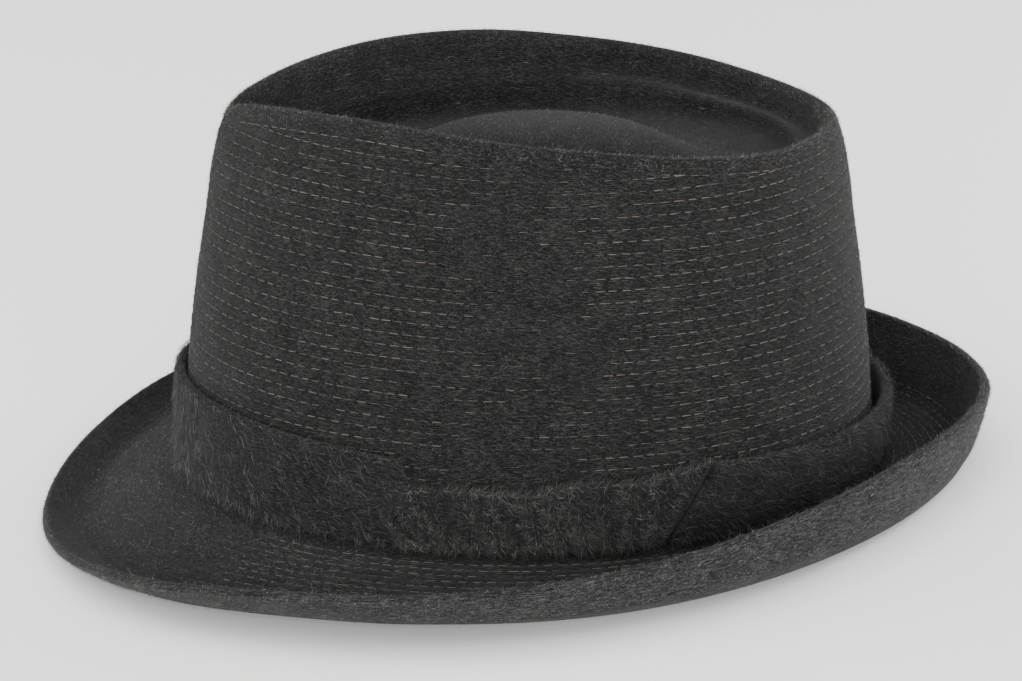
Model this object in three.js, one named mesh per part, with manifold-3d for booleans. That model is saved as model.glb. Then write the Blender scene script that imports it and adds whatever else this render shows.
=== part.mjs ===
// A stitched long-nap felt fedora: one blocked felt body with a teardrop crown,
// a brim that dips in front and rises behind, a felt band and a shaggy tab.
//
// Millimetres. Up is +Z, the front of the hat is -Y, the wearer's left is +X.
// The hat is shaped on its head line (z = 0 where crown meets brim), then laid
// down the way it lies on a table: on the front of the brim and the back of the
// head line. The origin ends up at the bottom centre of the whole hat.

import * as THREE from "three";
import { mergeVertices } from "three/addons/utils/BufferGeometryUtils.js";
import Module from "manifold-3d";

const wasm = await Module();
wasm.setup();

// Felt
const FELT_THICKNESS = 2.8;
const FLATTENED_DEPTH = 1.2;

// Head line: the oval where crown meets brim, outside of the felt
const HEAD_HALF_LENGTH = 102.5;
const HEAD_HALF_WIDTH = 84;

// Crown rim: the teardrop ridge round the top
const RIM_HALF_LENGTH = 86.8;
const RIM_CENTRE_Y = 1.2;
const RIM_HALF_WIDTH = 67;
const RIM_FOLD = 3.6;
const CROWN_HEIGHT = 111;

// Sunken crown top: a ring gutter round a low dome
const DENT_DEPTH = 22.5;
const DENT_HALF_LENGTH = 72;
const DENT_HALF_WIDTH = 54;
const DOME_HALF_LENGTH = 48;
const DOME_HALF_WIDTH = 34;
const DOME_RISE = 12.5;
const DOME_CENTRE_Y = 3.5;

// Brim edge and its upturned lip
const BRIM_HALF_LENGTH = 139.7;
const BRIM_HALF_WIDTH = 125.7;
const BRIM_CENTRE_Y = -4.5;
const LIP_WIDTH = 10;

// Band and tab
const BAND_HEIGHT = 23;
const BAND_HEIGHT_SWING = 0.2;
const BAND_THICKNESS = 3;
const BAND_STAND_OFF = 0.6;
const BAND_BACK_GAP = 2.6;
const BAND_CLEARANCE = 0.4;
const TAB_HEIGHT = 17;
const TAB_THICKNESS = 3.4;
const TAB_GAP = 1.2;
const LOCK_LENGTH = 5;
const LOCK_WIDTH = 3.4;
const LOCK_COUNT = 16;

// Angles round the hat, from the front toward the wearer's left, in degrees
const BAND_FRONT_END = 73;
const BAND_REAR_END = 110;
const BAND_END_SLANT = 8;

const POINTS_ROUND = 72;

// Round the crown rim from front to back: shares of its half width and of CROWN_HEIGHT
const CROWN_ROUND = [
  { angle: 0, rimTaper: 0.30, rimHeight: 0.950 },
  { angle: 20, rimTaper: 0.43, rimHeight: 0.980 },
  { angle: 40, rimTaper: 0.67, rimHeight: 1.008 },
  { angle: 60, rimTaper: 0.84, rimHeight: 1.022 },
  { angle: 80, rimTaper: 0.98, rimHeight: 1.010 },
  { angle: 100, rimTaper: 1.02, rimHeight: 0.985 },
  { angle: 120, rimTaper: 1.07, rimHeight: 0.955 },
  { angle: 140, rimTaper: 1.07, rimHeight: 0.930 },
  { angle: 160, rimTaper: 0.98, rimHeight: 0.922 },
  { angle: 180, rimTaper: 0.92, rimHeight: 0.922 },
];

// Round the brim from front to back: shares of its half width, of CROWN_HEIGHT,
// of LIP_WIDTH upward and inward from edge to crease, and of BRIM_SAG
const BRIM_ROUND = [
  { angle: 0, brimTaper: 1.100, brimRise: -0.126, lipRise: 0.45, lipLean: 0.92, sag: 0.0 },
  { angle: 20, brimTaper: 1.090, brimRise: -0.097, lipRise: 0.49, lipLean: 0.90, sag: 0.0 },
  { angle: 40, brimTaper: 1.060, brimRise: -0.038, lipRise: 0.64, lipLean: 0.82, sag: 0.1 },
  { angle: 60, brimTaper: 1.010, brimRise: 0.010, lipRise: 0.79, lipLean: 0.66, sag: 0.2 },
  { angle: 80, brimTaper: 1.000, brimRise: 0.044, lipRise: 0.90, lipLean: 0.50, sag: 0.3 },
  { angle: 100, brimTaper: 0.985, brimRise: 0.091, lipRise: 1.18, lipLean: 0.42, sag: 0.4 },
  { angle: 120, brimTaper: 0.950, brimRise: 0.150, lipRise: 1.58, lipLean: 0.42, sag: 0.5 },
  { angle: 140, brimTaper: 0.870, brimRise: 0.190, lipRise: 1.96, lipLean: 0.46, sag: 0.5 },
  { angle: 160, brimTaper: 0.785, brimRise: 0.198, lipRise: 1.92, lipLean: 0.48, sag: 0.4 },
  { angle: 180, brimTaper: 0.760, brimRise: 0.193, lipRise: 1.84, lipLean: 0.48, sag: 0.3 },
];

const AROUND = CROWN_ROUND.map((row, i) => ({ ...row, ...BRIM_ROUND[i] }));

// Up the crown side: share of the height and share of the way in to the rim
const CROWN_SIDE = [
  { height: 0.96, inward: 0.84 },
  { height: 0.86, inward: 0.67 },
  { height: 0.72, inward: 0.53 },
  { height: 0.54, inward: 0.34 },
  { height: 0.36, inward: 0.19 },
  { height: 0.20, inward: 0.09 },
  { height: 0.013, inward: 0.0 },
];

// Out over the dome: share of its half sizes and share of its rise
const DOME_PROFILE = [
  { reach: 0.22, rise: 0.98 },
  { reach: 0.45, rise: 0.88 },
  { reach: 0.68, rise: 0.64 },
  { reach: 0.88, rise: 0.27 },
];

// Out over the brim from the head line to the crease, and the sag below it
const BRIM_PROFILE = [
  { reach: 0.035, sag: 0.12 },
  { reach: 0.38, sag: 0.8 },
  { reach: 0.72, sag: 0.9 },
  { reach: 0.95, sag: 0.2 },
];
const BRIM_SAG = 5;

// Up the lip from the crease to the edge, as shares of the way down from the edge
const LIP_PROFILE = [0.84, 0.55, 0.25, 0.04];

// One named column of AROUND at an angle, eased between its rows
function around(column, angle) {
  const folded = Math.abs(((angle + 180) % 360 + 360) % 360 - 180);
  const step = AROUND[1].angle - AROUND[0].angle;
  const last = AROUND.length - 1;
  const place = Math.min(folded / step, last - 1e-9);
  const row = Math.floor(place);
  const share = place - row;
  const value = (i) => AROUND[i < 0 ? -i : i > last ? 2 * last - i : i][column];
  const [a, b, c, d] = [value(row - 1), value(row), value(row + 1), value(row + 2)];
  const bend = 2 * a - 5 * b + 4 * c - d;
  const twist = 3 * (b - c) + d - a;
  return b + 0.5 * share * (c - a + share * (bend + share * twist));
}

// A point of an oval; taper 0 is a plain oval, 1 the full teardrop or brim shape
function oval(angle, halfLength, halfWidth, centreY, height, column = null, taper = 1) {
  const radians = THREE.MathUtils.degToRad(angle);
  const shape = column ? 1 + taper * (around(column, angle) - 1) : 1;
  const x = halfWidth * shape * Math.sin(radians);
  return new THREE.Vector3(x, centreY - halfLength * Math.cos(radians), height);
}

const headPoint = (angle) => oval(angle, HEAD_HALF_LENGTH, HEAD_HALF_WIDTH, 0, 0);

function rimPoint(angle, inset = 0, drop = 0, taper = 1) {
  const height = CROWN_HEIGHT * around("rimHeight", angle) - drop;
  const halfLength = RIM_HALF_LENGTH - inset;
  return oval(
    angle, halfLength, RIM_HALF_WIDTH - inset, RIM_CENTRE_Y, height, "rimTaper", taper);
}

function edgePoint(angle, inset = 0, drop = 0) {
  const height = CROWN_HEIGHT * around("brimRise", angle) - drop;
  const halfLength = BRIM_HALF_LENGTH - inset;
  const halfWidth = BRIM_HALF_WIDTH - inset;
  return oval(angle, halfLength, halfWidth, BRIM_CENTRE_Y, height, "brimTaper");
}

// The lip's upper face, at a share of the way from its edge down to the crease
function lipPoint(angle, share) {
  const inset = LIP_WIDTH * around("lipLean", angle) * share ** 1.3;
  const drop = LIP_WIDTH * around("lipRise", angle) * share;
  return edgePoint(angle, inset + FELT_THICKNESS / 2, drop);
}

const creasePoint = (angle) => lipPoint(angle, 1);

function wallPoint(angle, height, inward) {
  const head = headPoint(angle);
  const rim = rimPoint(angle);
  return new THREE.Vector3(
    THREE.MathUtils.lerp(head.x, rim.x, inward),
    THREE.MathUtils.lerp(head.y, rim.y, inward),
    rim.z * height,
  );
}

// The wall at a height given in millimetres, for what sits against the crown
function wallAt(angle, height) {
  const share = height / rimPoint(angle).z;
  const rows = [...CROWN_SIDE, { height: -0.2, inward: 0 }];
  const upper = rows.findIndex((row) => row.height <= share);
  if (upper <= 0) return wallPoint(angle, share, rows[0].inward);
  const a = rows[upper];
  const b = rows[upper - 1];
  const part = (share - a.height) / (b.height - a.height);
  return wallPoint(angle, share, THREE.MathUtils.lerp(a.inward, b.inward, part));
}

function brimPoint(angle, reach, sag) {
  const point = headPoint(angle).lerp(creasePoint(angle), reach);
  point.z -= BRIM_SAG * sag * around("sag", angle);
  return point;
}

function gutterPoint(angle, halfLength, halfWidth, lift, taper) {
  const height = CROWN_HEIGHT - DENT_DEPTH + lift;
  return oval(angle, halfLength, halfWidth, DOME_CENTRE_Y, height, "rimTaper", taper);
}

// The upper face of the felt, from the dome outward, as loops of points
const UPPER_LOOPS = [
  ...DOME_PROFILE.map(({ reach, rise }) => (angle) => gutterPoint(
    angle, DOME_HALF_LENGTH * reach, DOME_HALF_WIDTH * reach, DOME_RISE * rise, 0.1)),
  (angle) => gutterPoint(angle, DOME_HALF_LENGTH, DOME_HALF_WIDTH, 0.8, 0.2),
  (angle) => gutterPoint(
    angle,
    (DOME_HALF_LENGTH + DENT_HALF_LENGTH) / 2,
    (DOME_HALF_WIDTH + DENT_HALF_WIDTH) / 2,
    0,
    0.3,
  ),
  (angle) => gutterPoint(angle, DENT_HALF_LENGTH, DENT_HALF_WIDTH, 2, 0.45),
  (angle) => gutterPoint(angle, DENT_HALF_LENGTH, DENT_HALF_WIDTH, 5, 0.55)
    .lerp(rimPoint(angle, RIM_FOLD, RIM_FOLD), 0.3),
  (angle) => rimPoint(angle, 1.6 * RIM_FOLD, 2.2 * RIM_FOLD, 0.95),
  (angle) => rimPoint(angle, 0.8 * RIM_FOLD, 0.5 * RIM_FOLD),
  (angle) => rimPoint(angle, 0, 0),
  ...CROWN_SIDE.map(({ height, inward }) => (angle) => wallPoint(angle, height, inward)),
  ...BRIM_PROFILE.map(({ reach, sag }) => (angle) => brimPoint(angle, reach, sag)),
  ...LIP_PROFILE.map((share) => (angle) => lipPoint(angle, share)),
];

// A grid of points: one row a loop, one column an angle
function gridOf(loops) {
  const step = 360 / POINTS_ROUND;
  return loops.map((loop) => Array.from({ length: POINTS_ROUND }, (_, i) => loop(i * step)));
}

// The felt's other face: every point moved a thickness back along its normal
function lowerGrid(grid, pole) {
  const turn = (i) => (i + POINTS_ROUND) % POINTS_ROUND;
  return grid.map((row, r) => row.map((point, i) => {
    const inner = r > 0 ? grid[r - 1][i] : pole;
    const outer = r < grid.length - 1 ? grid[r + 1][i] : point;
    const across = outer.clone().sub(inner);
    const along = row[turn(i + 1)].clone().sub(row[turn(i - 1)]);
    const normal = across.cross(along).normalize();
    return point.clone().addScaledVector(normal, -FELT_THICKNESS);
  }));
}

// A closed solid from a pole, rows of points and an end pole
function solidFrom(pole, rows, endPole) {
  const corners = [pole, ...rows.flat(), endPole];
  const faces = [];
  const at = (r, i) => 1 + r * POINTS_ROUND + (i % POINTS_ROUND);
  const last = corners.length - 1;
  for (let i = 0; i < POINTS_ROUND; i += 1) {
    faces.push([0, at(0, i), at(0, i + 1)]);
    for (let r = 0; r + 1 < rows.length; r += 1) {
      faces.push([at(r, i), at(r + 1, i), at(r + 1, i + 1)]);
      faces.push([at(r, i), at(r + 1, i + 1), at(r, i + 1)]);
    }
    faces.push([last, at(rows.length - 1, i + 1), at(rows.length - 1, i)]);
  }
  return meshSolid(corners, faces);
}

function meshSolid(corners, faces) {
  const mesh = new wasm.Mesh({
    numProp: 3,
    vertProperties: Float32Array.from(corners.flatMap((p) => [p.x, p.y, p.z])),
    triVerts: Uint32Array.from(faces.flat()),
  });
  return new wasm.Manifold(mesh);
}

function buildHood() {
  const upper = gridOf(UPPER_LOOPS);
  const pole = new THREE.Vector3(0, DOME_CENTRE_Y, CROWN_HEIGHT - DENT_DEPTH + DOME_RISE);
  const lower = lowerGrid(upper, pole);
  const edge = upper.at(-1).map((point, i) => {
    const below = lower.at(-1)[i];
    const outward = below.clone().sub(upper.at(-2)[i]).normalize();
    return point.clone().lerp(below, 0.5).addScaledVector(outward, 0.3 * FELT_THICKNESS);
  });
  const rows = [...upper, edge, ...lower.reverse()];
  const endPole = pole.clone();
  endPole.z -= FELT_THICKNESS;
  return solidFrom(pole, rows, endPole);
}

// How far the band stands off the crown: snug in front, slack behind
function standOff(angle) {
  const behind = 0.5 - 0.5 * Math.cos(THREE.MathUtils.degToRad(angle));
  return BAND_STAND_OFF + BAND_BACK_GAP * behind ** 3;
}

// Height of the band's foot: it clears the curve into the brim and the brim's rise
function footHeight(angle) {
  const crease = creasePoint(angle);
  const run = crease.clone().sub(headPoint(angle)).setZ(0).length();
  const reach = (standOff(angle) + TAB_THICKNESS + BAND_CLEARANCE) / run;
  const curve = CROWN_HEIGHT * CROWN_SIDE.at(-1).height;
  return curve + BAND_CLEARANCE + Math.max(0, crease.z * reach);
}

// A strip against the crown; each ring is a rounded upright section
function stripSolid(angles, slantAt, heightAt, thickness, gapAt) {
  const section = [
    [0, 0.04], [0, 0.5], [0, 0.97], [0.35, 1], [0.8, 0.96],
    [1, 0.75], [1.02, 0.5], [1, 0.2], [0.8, 0.03], [0.35, 0],
  ];
  const rings = angles.map((angle) => section.map(([depth, share]) => {
    const turned = angle + slantAt(angle) * share;
    const foot = footHeight(turned);
    const z = foot + heightAt(turned) * share;
    const wall = wallAt(turned, z);
    const base = wallAt(turned, 0);
    const outward = new THREE.Vector3(base.x / HEAD_HALF_WIDTH ** 2, base.y / HEAD_HALF_LENGTH ** 2, 0);
    outward.normalize();
    const lean = gapAt(turned) * (0.35 + 0.65 * share);
    return wall.addScaledVector(outward, lean + thickness * depth);
  }));
  const corners = rings.flat();
  const size = section.length;
  const faces = [];
  for (let r = 0; r + 1 < rings.length; r += 1) {
    for (let i = 0; i < size; i += 1) {
      const a = r * size + i;
      const b = r * size + (i + 1) % size;
      faces.push([a, b + size, a + size]);
      faces.push([a, b, b + size]);
    }
  }
  const lastRing = (rings.length - 1) * size;
  for (let i = 1; i + 1 < size; i += 1) {
    faces.push([0, i + 1, i]);
    faces.push([lastRing, lastRing + i, lastRing + i + 1]);
  }
  return meshSolid(corners, faces);
}

function anglesFrom(start, end, count) {
  return Array.from({ length: count + 1 }, (_, i) => start + (end - start) * i / count);
}

function bandHeightAt(angle) {
  return BAND_HEIGHT * (1 + BAND_HEIGHT_SWING * Math.cos(THREE.MathUtils.degToRad(angle)));
}

function buildBand() {
  const span = 360 - BAND_REAR_END + BAND_FRONT_END;
  const middle = BAND_REAR_END + span / 2;
  const slantAt = (angle) => {
    const nearRear = Math.max(0, 1 - (angle - BAND_REAR_END) / 30);
    const nearFront = Math.max(0, 1 - (BAND_REAR_END + span - angle) / 30);
    return BAND_END_SLANT * (nearRear - 0.6 * nearFront) * (angle === middle ? 0 : 1);
  };
  const angles = anglesFrom(BAND_REAR_END, BAND_REAR_END + span, 76);
  return stripSolid(angles, slantAt, bandHeightAt, BAND_THICKNESS, standOff);
}

function buildTab() {
  const start = BAND_FRONT_END + TAB_GAP;
  const end = BAND_REAR_END - TAB_GAP;
  const heightAt = (angle) => {
    const share = (angle - start) / (end - start);
    return TAB_HEIGHT * (1 - 0.05 * Math.sin(7 * share) - 0.04 * Math.sin(17 * share + 1));
  };
  const backing = stripSolid(anglesFrom(start, end, 22), () => 0, heightAt, TAB_THICKNESS, standOff);
  const locks = [];
  for (let i = 0; i < LOCK_COUNT; i += 1) {
    const angle = start + (end - start) * (i + 0.5) / LOCK_COUNT;
    const lift = 3.2 + 1.1 * Math.sin(2.4 * i);
    locks.push(lockSolid(angle, lift, 0.8 + 0.25 * Math.sin(1.7 * i + 0.5)));
  }
  return wasm.Manifold.union([backing, ...locks]);
}

// One lock of hair: a tapering curl that leaves the tab's face and bends down
function lockSolid(angle, lift, scale) {
  const base = wallAt(angle, footHeight(angle));
  const outward = new THREE.Vector3(base.x / HEAD_HALF_WIDTH ** 2, base.y / HEAD_HALF_LENGTH ** 2, 0);
  outward.normalize();
  const along = new THREE.Vector3(-outward.y, outward.x, 0);
  const up = new THREE.Vector3(0, 0, 1);
  const rings = [
    { out: TAB_THICKNESS * 0.6, rise: lift + 1.2, size: 1 },
    { out: TAB_THICKNESS + 0.6, rise: lift + 0.4, size: 0.8 },
    { out: TAB_THICKNESS + 1.5, rise: lift - 0.35 * LOCK_LENGTH * scale, size: 0.55 },
    { out: TAB_THICKNESS + 1.7, rise: lift - 0.6 * LOCK_LENGTH * scale, size: 0.2 },
  ];
  const sides = 6;
  const gap = standOff(angle) * 0.5;
  const corners = rings.flatMap(({ out, rise, size }) => Array.from({ length: sides }, (_, i) => {
    const turn = i * 2 * Math.PI / sides;
    const half = 0.5 * LOCK_WIDTH * size;
    return base.clone()
      .addScaledVector(outward, gap + out + half * 0.6 * Math.sin(turn))
      .addScaledVector(along, half * Math.cos(turn))
      .addScaledVector(up, rise + half * 0.5 * Math.sin(turn));
  }));
  const faces = [];
  for (let r = 0; r + 1 < rings.length; r += 1) {
    for (let i = 0; i < sides; i += 1) {
      const a = r * sides + i;
      const b = r * sides + (i + 1) % sides;
      faces.push([a, b, b + sides], [a, b + sides, a + sides]);
    }
  }
  const end = (rings.length - 1) * sides;
  for (let i = 1; i + 1 < sides; i += 1) {
    faces.push([0, i + 1, i], [end, end + i, end + i + 1]);
  }
  return meshSolid(corners, faces);
}

// Vertex points of a solid, as an array of vectors
function pointsOf(solid) {
  const { vertProperties, numProp } = solid.getMesh();
  const points = [];
  for (let i = 0; i < vertProperties.length; i += numProp) {
    points.push(new THREE.Vector3(vertProperties[i], vertProperties[i + 1], vertProperties[i + 2]));
  }
  return points;
}

// The backward pitch at which the front and the back of the hat touch together
function restingPitch(points) {
  const drop = (pitch) => {
    const radians = THREE.MathUtils.degToRad(pitch);
    const heights = (side) => Math.min(...points.filter((p) => p.y * side > 0)
      .map((p) => p.y * Math.sin(radians) + p.z * Math.cos(radians)));
    return heights(-1) - heights(1);
  };
  let low = -20;
  let high = 20;
  for (let i = 0; i < 40; i += 1) {
    const middle = (low + high) / 2;
    if (drop(middle) < 0) high = middle;
    else low = middle;
  }
  return (low + high) / 2;
}

function meshFrom(solid, name, finish) {
  const { vertProperties, triVerts } = solid.getMesh();
  let geometry = new THREE.BufferGeometry();
  geometry.setAttribute("position", new THREE.BufferAttribute(Float32Array.from(vertProperties), 3));
  geometry.setIndex(Array.from(triVerts));
  geometry = mergeVertices(geometry);
  geometry.computeVertexNormals();
  const mesh = new THREE.Mesh(geometry, new THREE.MeshStandardMaterial(finish));
  mesh.name = name;
  return mesh;
}

const hood = buildHood();
const band = buildBand();
const tab = buildTab();

const pitch = restingPitch(pointsOf(hood));
const pitched = [hood, band, tab].map((solid) => solid.rotate([pitch, 0, 0]));
const box = pitched[0].boundingBox();
const shift = [
  0,
  -(box.min[1] + box.max[1]) / 2,
  -(box.min[2] + FLATTENED_DEPTH),
];
const [laidHood, laidBand, laidTab] = pitched.map((solid) => solid.translate(shift));

const hat = new THREE.Group();
hat.name = "fedora";
hat.add(
  meshFrom(laidHood.trimByPlane([0, 0, 1], 0), "hood", { color: 0x35363a, roughness: 0.95, metalness: 0 }),
  meshFrom(laidBand, "hat_band", { color: 0x2c2d30, roughness: 0.97, metalness: 0 }),
  meshFrom(laidTab, "band_tab", { color: 0x303134, roughness: 0.98, metalness: 0 }),
);

export default hat;
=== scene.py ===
import logging
import math
from dataclasses import dataclass
from enum import Enum

import bmesh
import bpy
import numpy as np
from mathutils import Matrix, Vector


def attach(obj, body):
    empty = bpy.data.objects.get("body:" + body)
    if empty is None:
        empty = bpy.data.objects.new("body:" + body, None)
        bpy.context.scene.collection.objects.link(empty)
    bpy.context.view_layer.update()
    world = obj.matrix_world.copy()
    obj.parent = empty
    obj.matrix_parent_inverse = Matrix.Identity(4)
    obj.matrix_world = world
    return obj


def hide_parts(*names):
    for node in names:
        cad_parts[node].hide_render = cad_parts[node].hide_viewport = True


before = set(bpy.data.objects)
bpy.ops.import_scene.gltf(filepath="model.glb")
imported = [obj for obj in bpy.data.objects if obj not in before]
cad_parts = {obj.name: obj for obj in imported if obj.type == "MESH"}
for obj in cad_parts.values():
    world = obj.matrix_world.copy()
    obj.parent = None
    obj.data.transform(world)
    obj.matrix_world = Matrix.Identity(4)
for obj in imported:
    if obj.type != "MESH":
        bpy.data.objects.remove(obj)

LOG = logging.getLogger("fedora")
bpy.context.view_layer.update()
MM = 0.001
UV_UNIT_MM = 100.0  # felt in one unit of the UV map
MEAN_RADIUS_MM = 95.0  # turns degrees round the hat into millimetres of felt
ROW_STEP_DEGREES = 20  # between two values of a column in the round table
EDGE_BULGE = 0.62  # how far the felt's cut edge bulges, in half thicknesses
GROOVE_HALF_WIDTH_MM = 0.75  # how wide a row of stitches draws the felt in
NAP_ROOT_MM = 0.12  # how deep a nap fibre starts in the felt
HAIR_ROOT_MM = 0.3  # the same for the tab's matted hair
CURL_GIRTH = 20.0  # widths in a curl's length: patterns are drawn one wide and one long
CROWN_FOOT = 0.013  # share of the crown's height at which the curve into the brim ends

# Seeds of the small irregularities, one range for each kind of piece
BAND_RIPPLE_SEED, TAB_RIPPLE_SEED, BAND_NAP_SEED, TAB_HAIR_SEED = 11, 12, 21, 31
STITCH_SEED, NAP_SEED, PAINTED_LIGHT_NAP_SEED = 40, 60, 80


class Round(Enum):
    """The columns that change from the front of the hat to its back."""

    RIM_TAPER = "rim taper"
    RIM_HEIGHT = "rim height"
    BRIM_TAPER = "brim taper"
    BRIM_RISE = "brim rise"
    LIP_RISE = "lip rise"
    LIP_LEAN = "lip lean"
    SAG = "sag"


class Region(Enum):
    """The parts of the felt's outer face, from the middle of the crown outward."""

    DOME = "dome"
    DENT = "dent"
    CROWN = "crown"
    BRIM = "brim"
    LIP = "lip"


ROUND_TABLE: dict[Round, tuple[float, ...]] = {
    Round.RIM_TAPER: (0.30, 0.43, 0.67, 0.84, 0.98, 1.02, 1.07, 1.07, 0.98, 0.92),
    Round.RIM_HEIGHT: (0.950, 0.980, 1.008, 1.022, 1.010, 0.985, 0.955, 0.930, 0.922, 0.922),
    Round.BRIM_TAPER: (1.10, 1.09, 1.06, 1.01, 1.0, 0.985, 0.95, 0.87, 0.785, 0.76),
    Round.BRIM_RISE: (-0.126, -0.097, -0.038, 0.010, 0.044, 0.091, 0.150, 0.190, 0.198, 0.193),
    Round.LIP_RISE: (0.45, 0.49, 0.64, 0.79, 0.90, 1.18, 1.58, 1.96, 1.92, 1.84),
    Round.LIP_LEAN: (0.92, 0.90, 0.82, 0.66, 0.50, 0.42, 0.42, 0.46, 0.48, 0.48),
    Round.SAG: (0.0, 0.0, 0.1, 0.2, 0.3, 0.4, 0.5, 0.5, 0.4, 0.3),
}


def eased(column: Round, angles: np.ndarray) -> np.ndarray:
    """Reads a column of the round table at any angle, eased between its rows.

    Args:
        column: the column to read.
        angles: degrees from the front toward the wearer's left.

    Returns:
        One value for each angle.
    """
    values = np.array(ROUND_TABLE[column])
    last = len(values) - 1
    folded = np.abs((np.asarray(angles, float) + 180.0) % 360.0 - 180.0)
    place = np.minimum(folded / ROW_STEP_DEGREES, last - 1e-9)
    row = np.floor(place).astype(int)
    share = place - row

    def value(index: np.ndarray) -> np.ndarray:
        """A table value, mirrored past the front and the back."""
        index = np.abs(index)
        return values[np.where(index > last, 2 * last - index, index)]

    a, b, c, d = value(row - 1), value(row), value(row + 1), value(row + 2)
    bend = 2 * a - 5 * b + 4 * c - d
    return b + 0.5 * share * (c - a + share * (bend + share * (3 * (b - c) + d - a)))


@dataclass(frozen=True)
class RestingPlace:
    """How the hat lies on the table: pitched back onto its brim, then set down."""

    pitch_degrees: float = -4.05775
    shift_mm: tuple[float, float, float] = (0.0, 3.7415, 9.65677)

    def turn(self, vectors: np.ndarray) -> np.ndarray:
        """Turns directions of the head-line frame into the laid-down frame.

        Args:
            vectors: directions or points.

        Returns:
            The turned vectors.
        """
        pitch = math.radians(self.pitch_degrees)
        turned = np.array(vectors, float)
        y, z = turned[..., 1].copy(), turned[..., 2].copy()
        turned[..., 1] = y * math.cos(pitch) - z * math.sin(pitch)
        turned[..., 2] = y * math.sin(pitch) + z * math.cos(pitch)
        return turned

    def lay(self, points: np.ndarray) -> np.ndarray:
        """Takes points in head-line millimetres to laid-down metres."""
        return (self.turn(points) + np.array(self.shift_mm)) * MM


@dataclass(frozen=True)
class HatForm:
    """The hat's named sizes in millimetres, and the loops that they make."""

    felt_thickness: float = 2.8
    head_half_length: float = 102.5
    head_half_width: float = 84.0
    rim_half_length: float = 86.8
    rim_centre_y: float = 1.2
    rim_half_width: float = 67.0
    rim_fold: float = 3.6
    crown_height: float = 111.0
    dent_depth: float = 22.5
    dent_half_length: float = 72.0
    dent_half_width: float = 54.0
    dome_half_length: float = 48.0
    dome_half_width: float = 34.0
    dome_rise: float = 12.5
    dome_centre_y: float = 3.5
    brim_half_length: float = 139.7
    brim_half_width: float = 125.7
    brim_centre_y: float = -4.5
    brim_sag: float = 5.0
    lip_width: float = 10.0

    def oval(self, angles: np.ndarray, half_length: float, half_width: float, centre_y: float,
             height: np.ndarray | float, column: Round | None = None, taper: float = 1.0) -> np.ndarray:
        """An oval loop, drawn in toward a teardrop or brim outline by a taper column.

        Args:
            angles: degrees round the loop.
            half_length: half size front to back.
            half_width: half size side to side.
            centre_y: where its middle lies, front to back.
            height: height above the head line, one or one for each angle.
            column: the column that shapes its width, or None for a plain oval.
            taper: how much of that column is applied.

        Returns:
            One point for each angle.
        """
        turns = np.radians(angles)
        shape = 1.0 if column is None else 1.0 + taper * (eased(column, angles) - 1.0)
        x = half_width * shape * np.sin(turns)
        y = centre_y - half_length * np.cos(turns)
        return np.stack([x, y, np.broadcast_to(height, x.shape)], -1)

    def head(self, angles: np.ndarray) -> np.ndarray:
        """The head line, where crown meets brim."""
        return self.oval(angles, self.head_half_length, self.head_half_width, 0.0, 0.0)

    def rim(self, angles: np.ndarray, inset: float = 0.0, drop: float = 0.0,
            taper: float = 1.0) -> np.ndarray:
        """The teardrop ridge, or a loop inside it and below it.

        Args:
            angles: degrees round the hat.
            inset: millimetres inside the ridge.
            drop: millimetres below it.
            taper: how much of the teardrop is applied.

        Returns:
            One point for each angle.
        """
        height = self.crown_height * eased(Round.RIM_HEIGHT, angles) - drop
        return self.oval(angles, self.rim_half_length - inset, self.rim_half_width - inset,
                         self.rim_centre_y, height, Round.RIM_TAPER, taper)

    def gutter(self, angles: np.ndarray, half_length: float, half_width: float, lift: float,
               taper: float) -> np.ndarray:
        """A loop of the sunken crown top, lifted above the gutter's floor.

        Args:
            angles: degrees round the hat.
            half_length: half size front to back.
            half_width: half size side to side.
            lift: millimetres above the gutter's floor.
            taper: how much of the teardrop is applied.

        Returns:
            One point for each angle.
        """
        height = self.crown_height - self.dent_depth + lift
        return self.oval(angles, half_length, half_width, self.dome_centre_y, height,
                         Round.RIM_TAPER, taper)

    def wall(self, angles: np.ndarray, height: float, inward: float) -> np.ndarray:
        """The crown side at a share of its height and of its way in to the rim.

        Args:
            angles: degrees round the hat.
            height: share of the height.
            inward: share of the way in.

        Returns:
            One point for each angle.
        """
        head, rim = self.head(angles), self.rim(angles)
        points = head + (rim - head) * inward
        points[..., 2] = rim[..., 2] * height
        return points

    def edge(self, angles: np.ndarray, inset: np.ndarray | float, drop: np.ndarray | float) -> np.ndarray:
        """The brim's edge, or a loop inside it and below it.

        Args:
            angles: degrees round the hat.
            inset: millimetres inside the edge.
            drop: millimetres below it.

        Returns:
            One point for each angle.
        """
        turns = np.radians(angles)
        shape = eased(Round.BRIM_TAPER, angles)
        x = (self.brim_half_width - inset) * shape * np.sin(turns)
        y = self.brim_centre_y - (self.brim_half_length - inset) * np.cos(turns)
        z = self.crown_height * eased(Round.BRIM_RISE, angles) - drop
        return np.stack([x, y, z], -1)

    def lip(self, angles: np.ndarray, share: float) -> np.ndarray:
        """The lip's upper face, at a share of the way from its edge to the crease.

        Args:
            angles: degrees round the hat.
            share: 0 at the edge, 1 at the crease.

        Returns:
            One point for each angle.
        """
        inset = self.lip_width * eased(Round.LIP_LEAN, angles) * share ** 1.3
        drop = self.lip_width * eased(Round.LIP_RISE, angles) * share
        return self.edge(angles, inset + self.felt_thickness / 2, drop)

    def brim(self, angles: np.ndarray, reach: float, sag: float) -> np.ndarray:
        """The flat of the brim, at a share of the way out to the crease.

        Args:
            angles: degrees round the hat.
            reach: share of the way out.
            sag: share of the full sag.

        Returns:
            One point for each angle.
        """
        head, crease = self.head(angles), self.lip(angles, 1.0)
        points = head + (crease - head) * reach
        points[..., 2] -= self.brim_sag * sag * eased(Round.SAG, angles)
        return points

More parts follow.
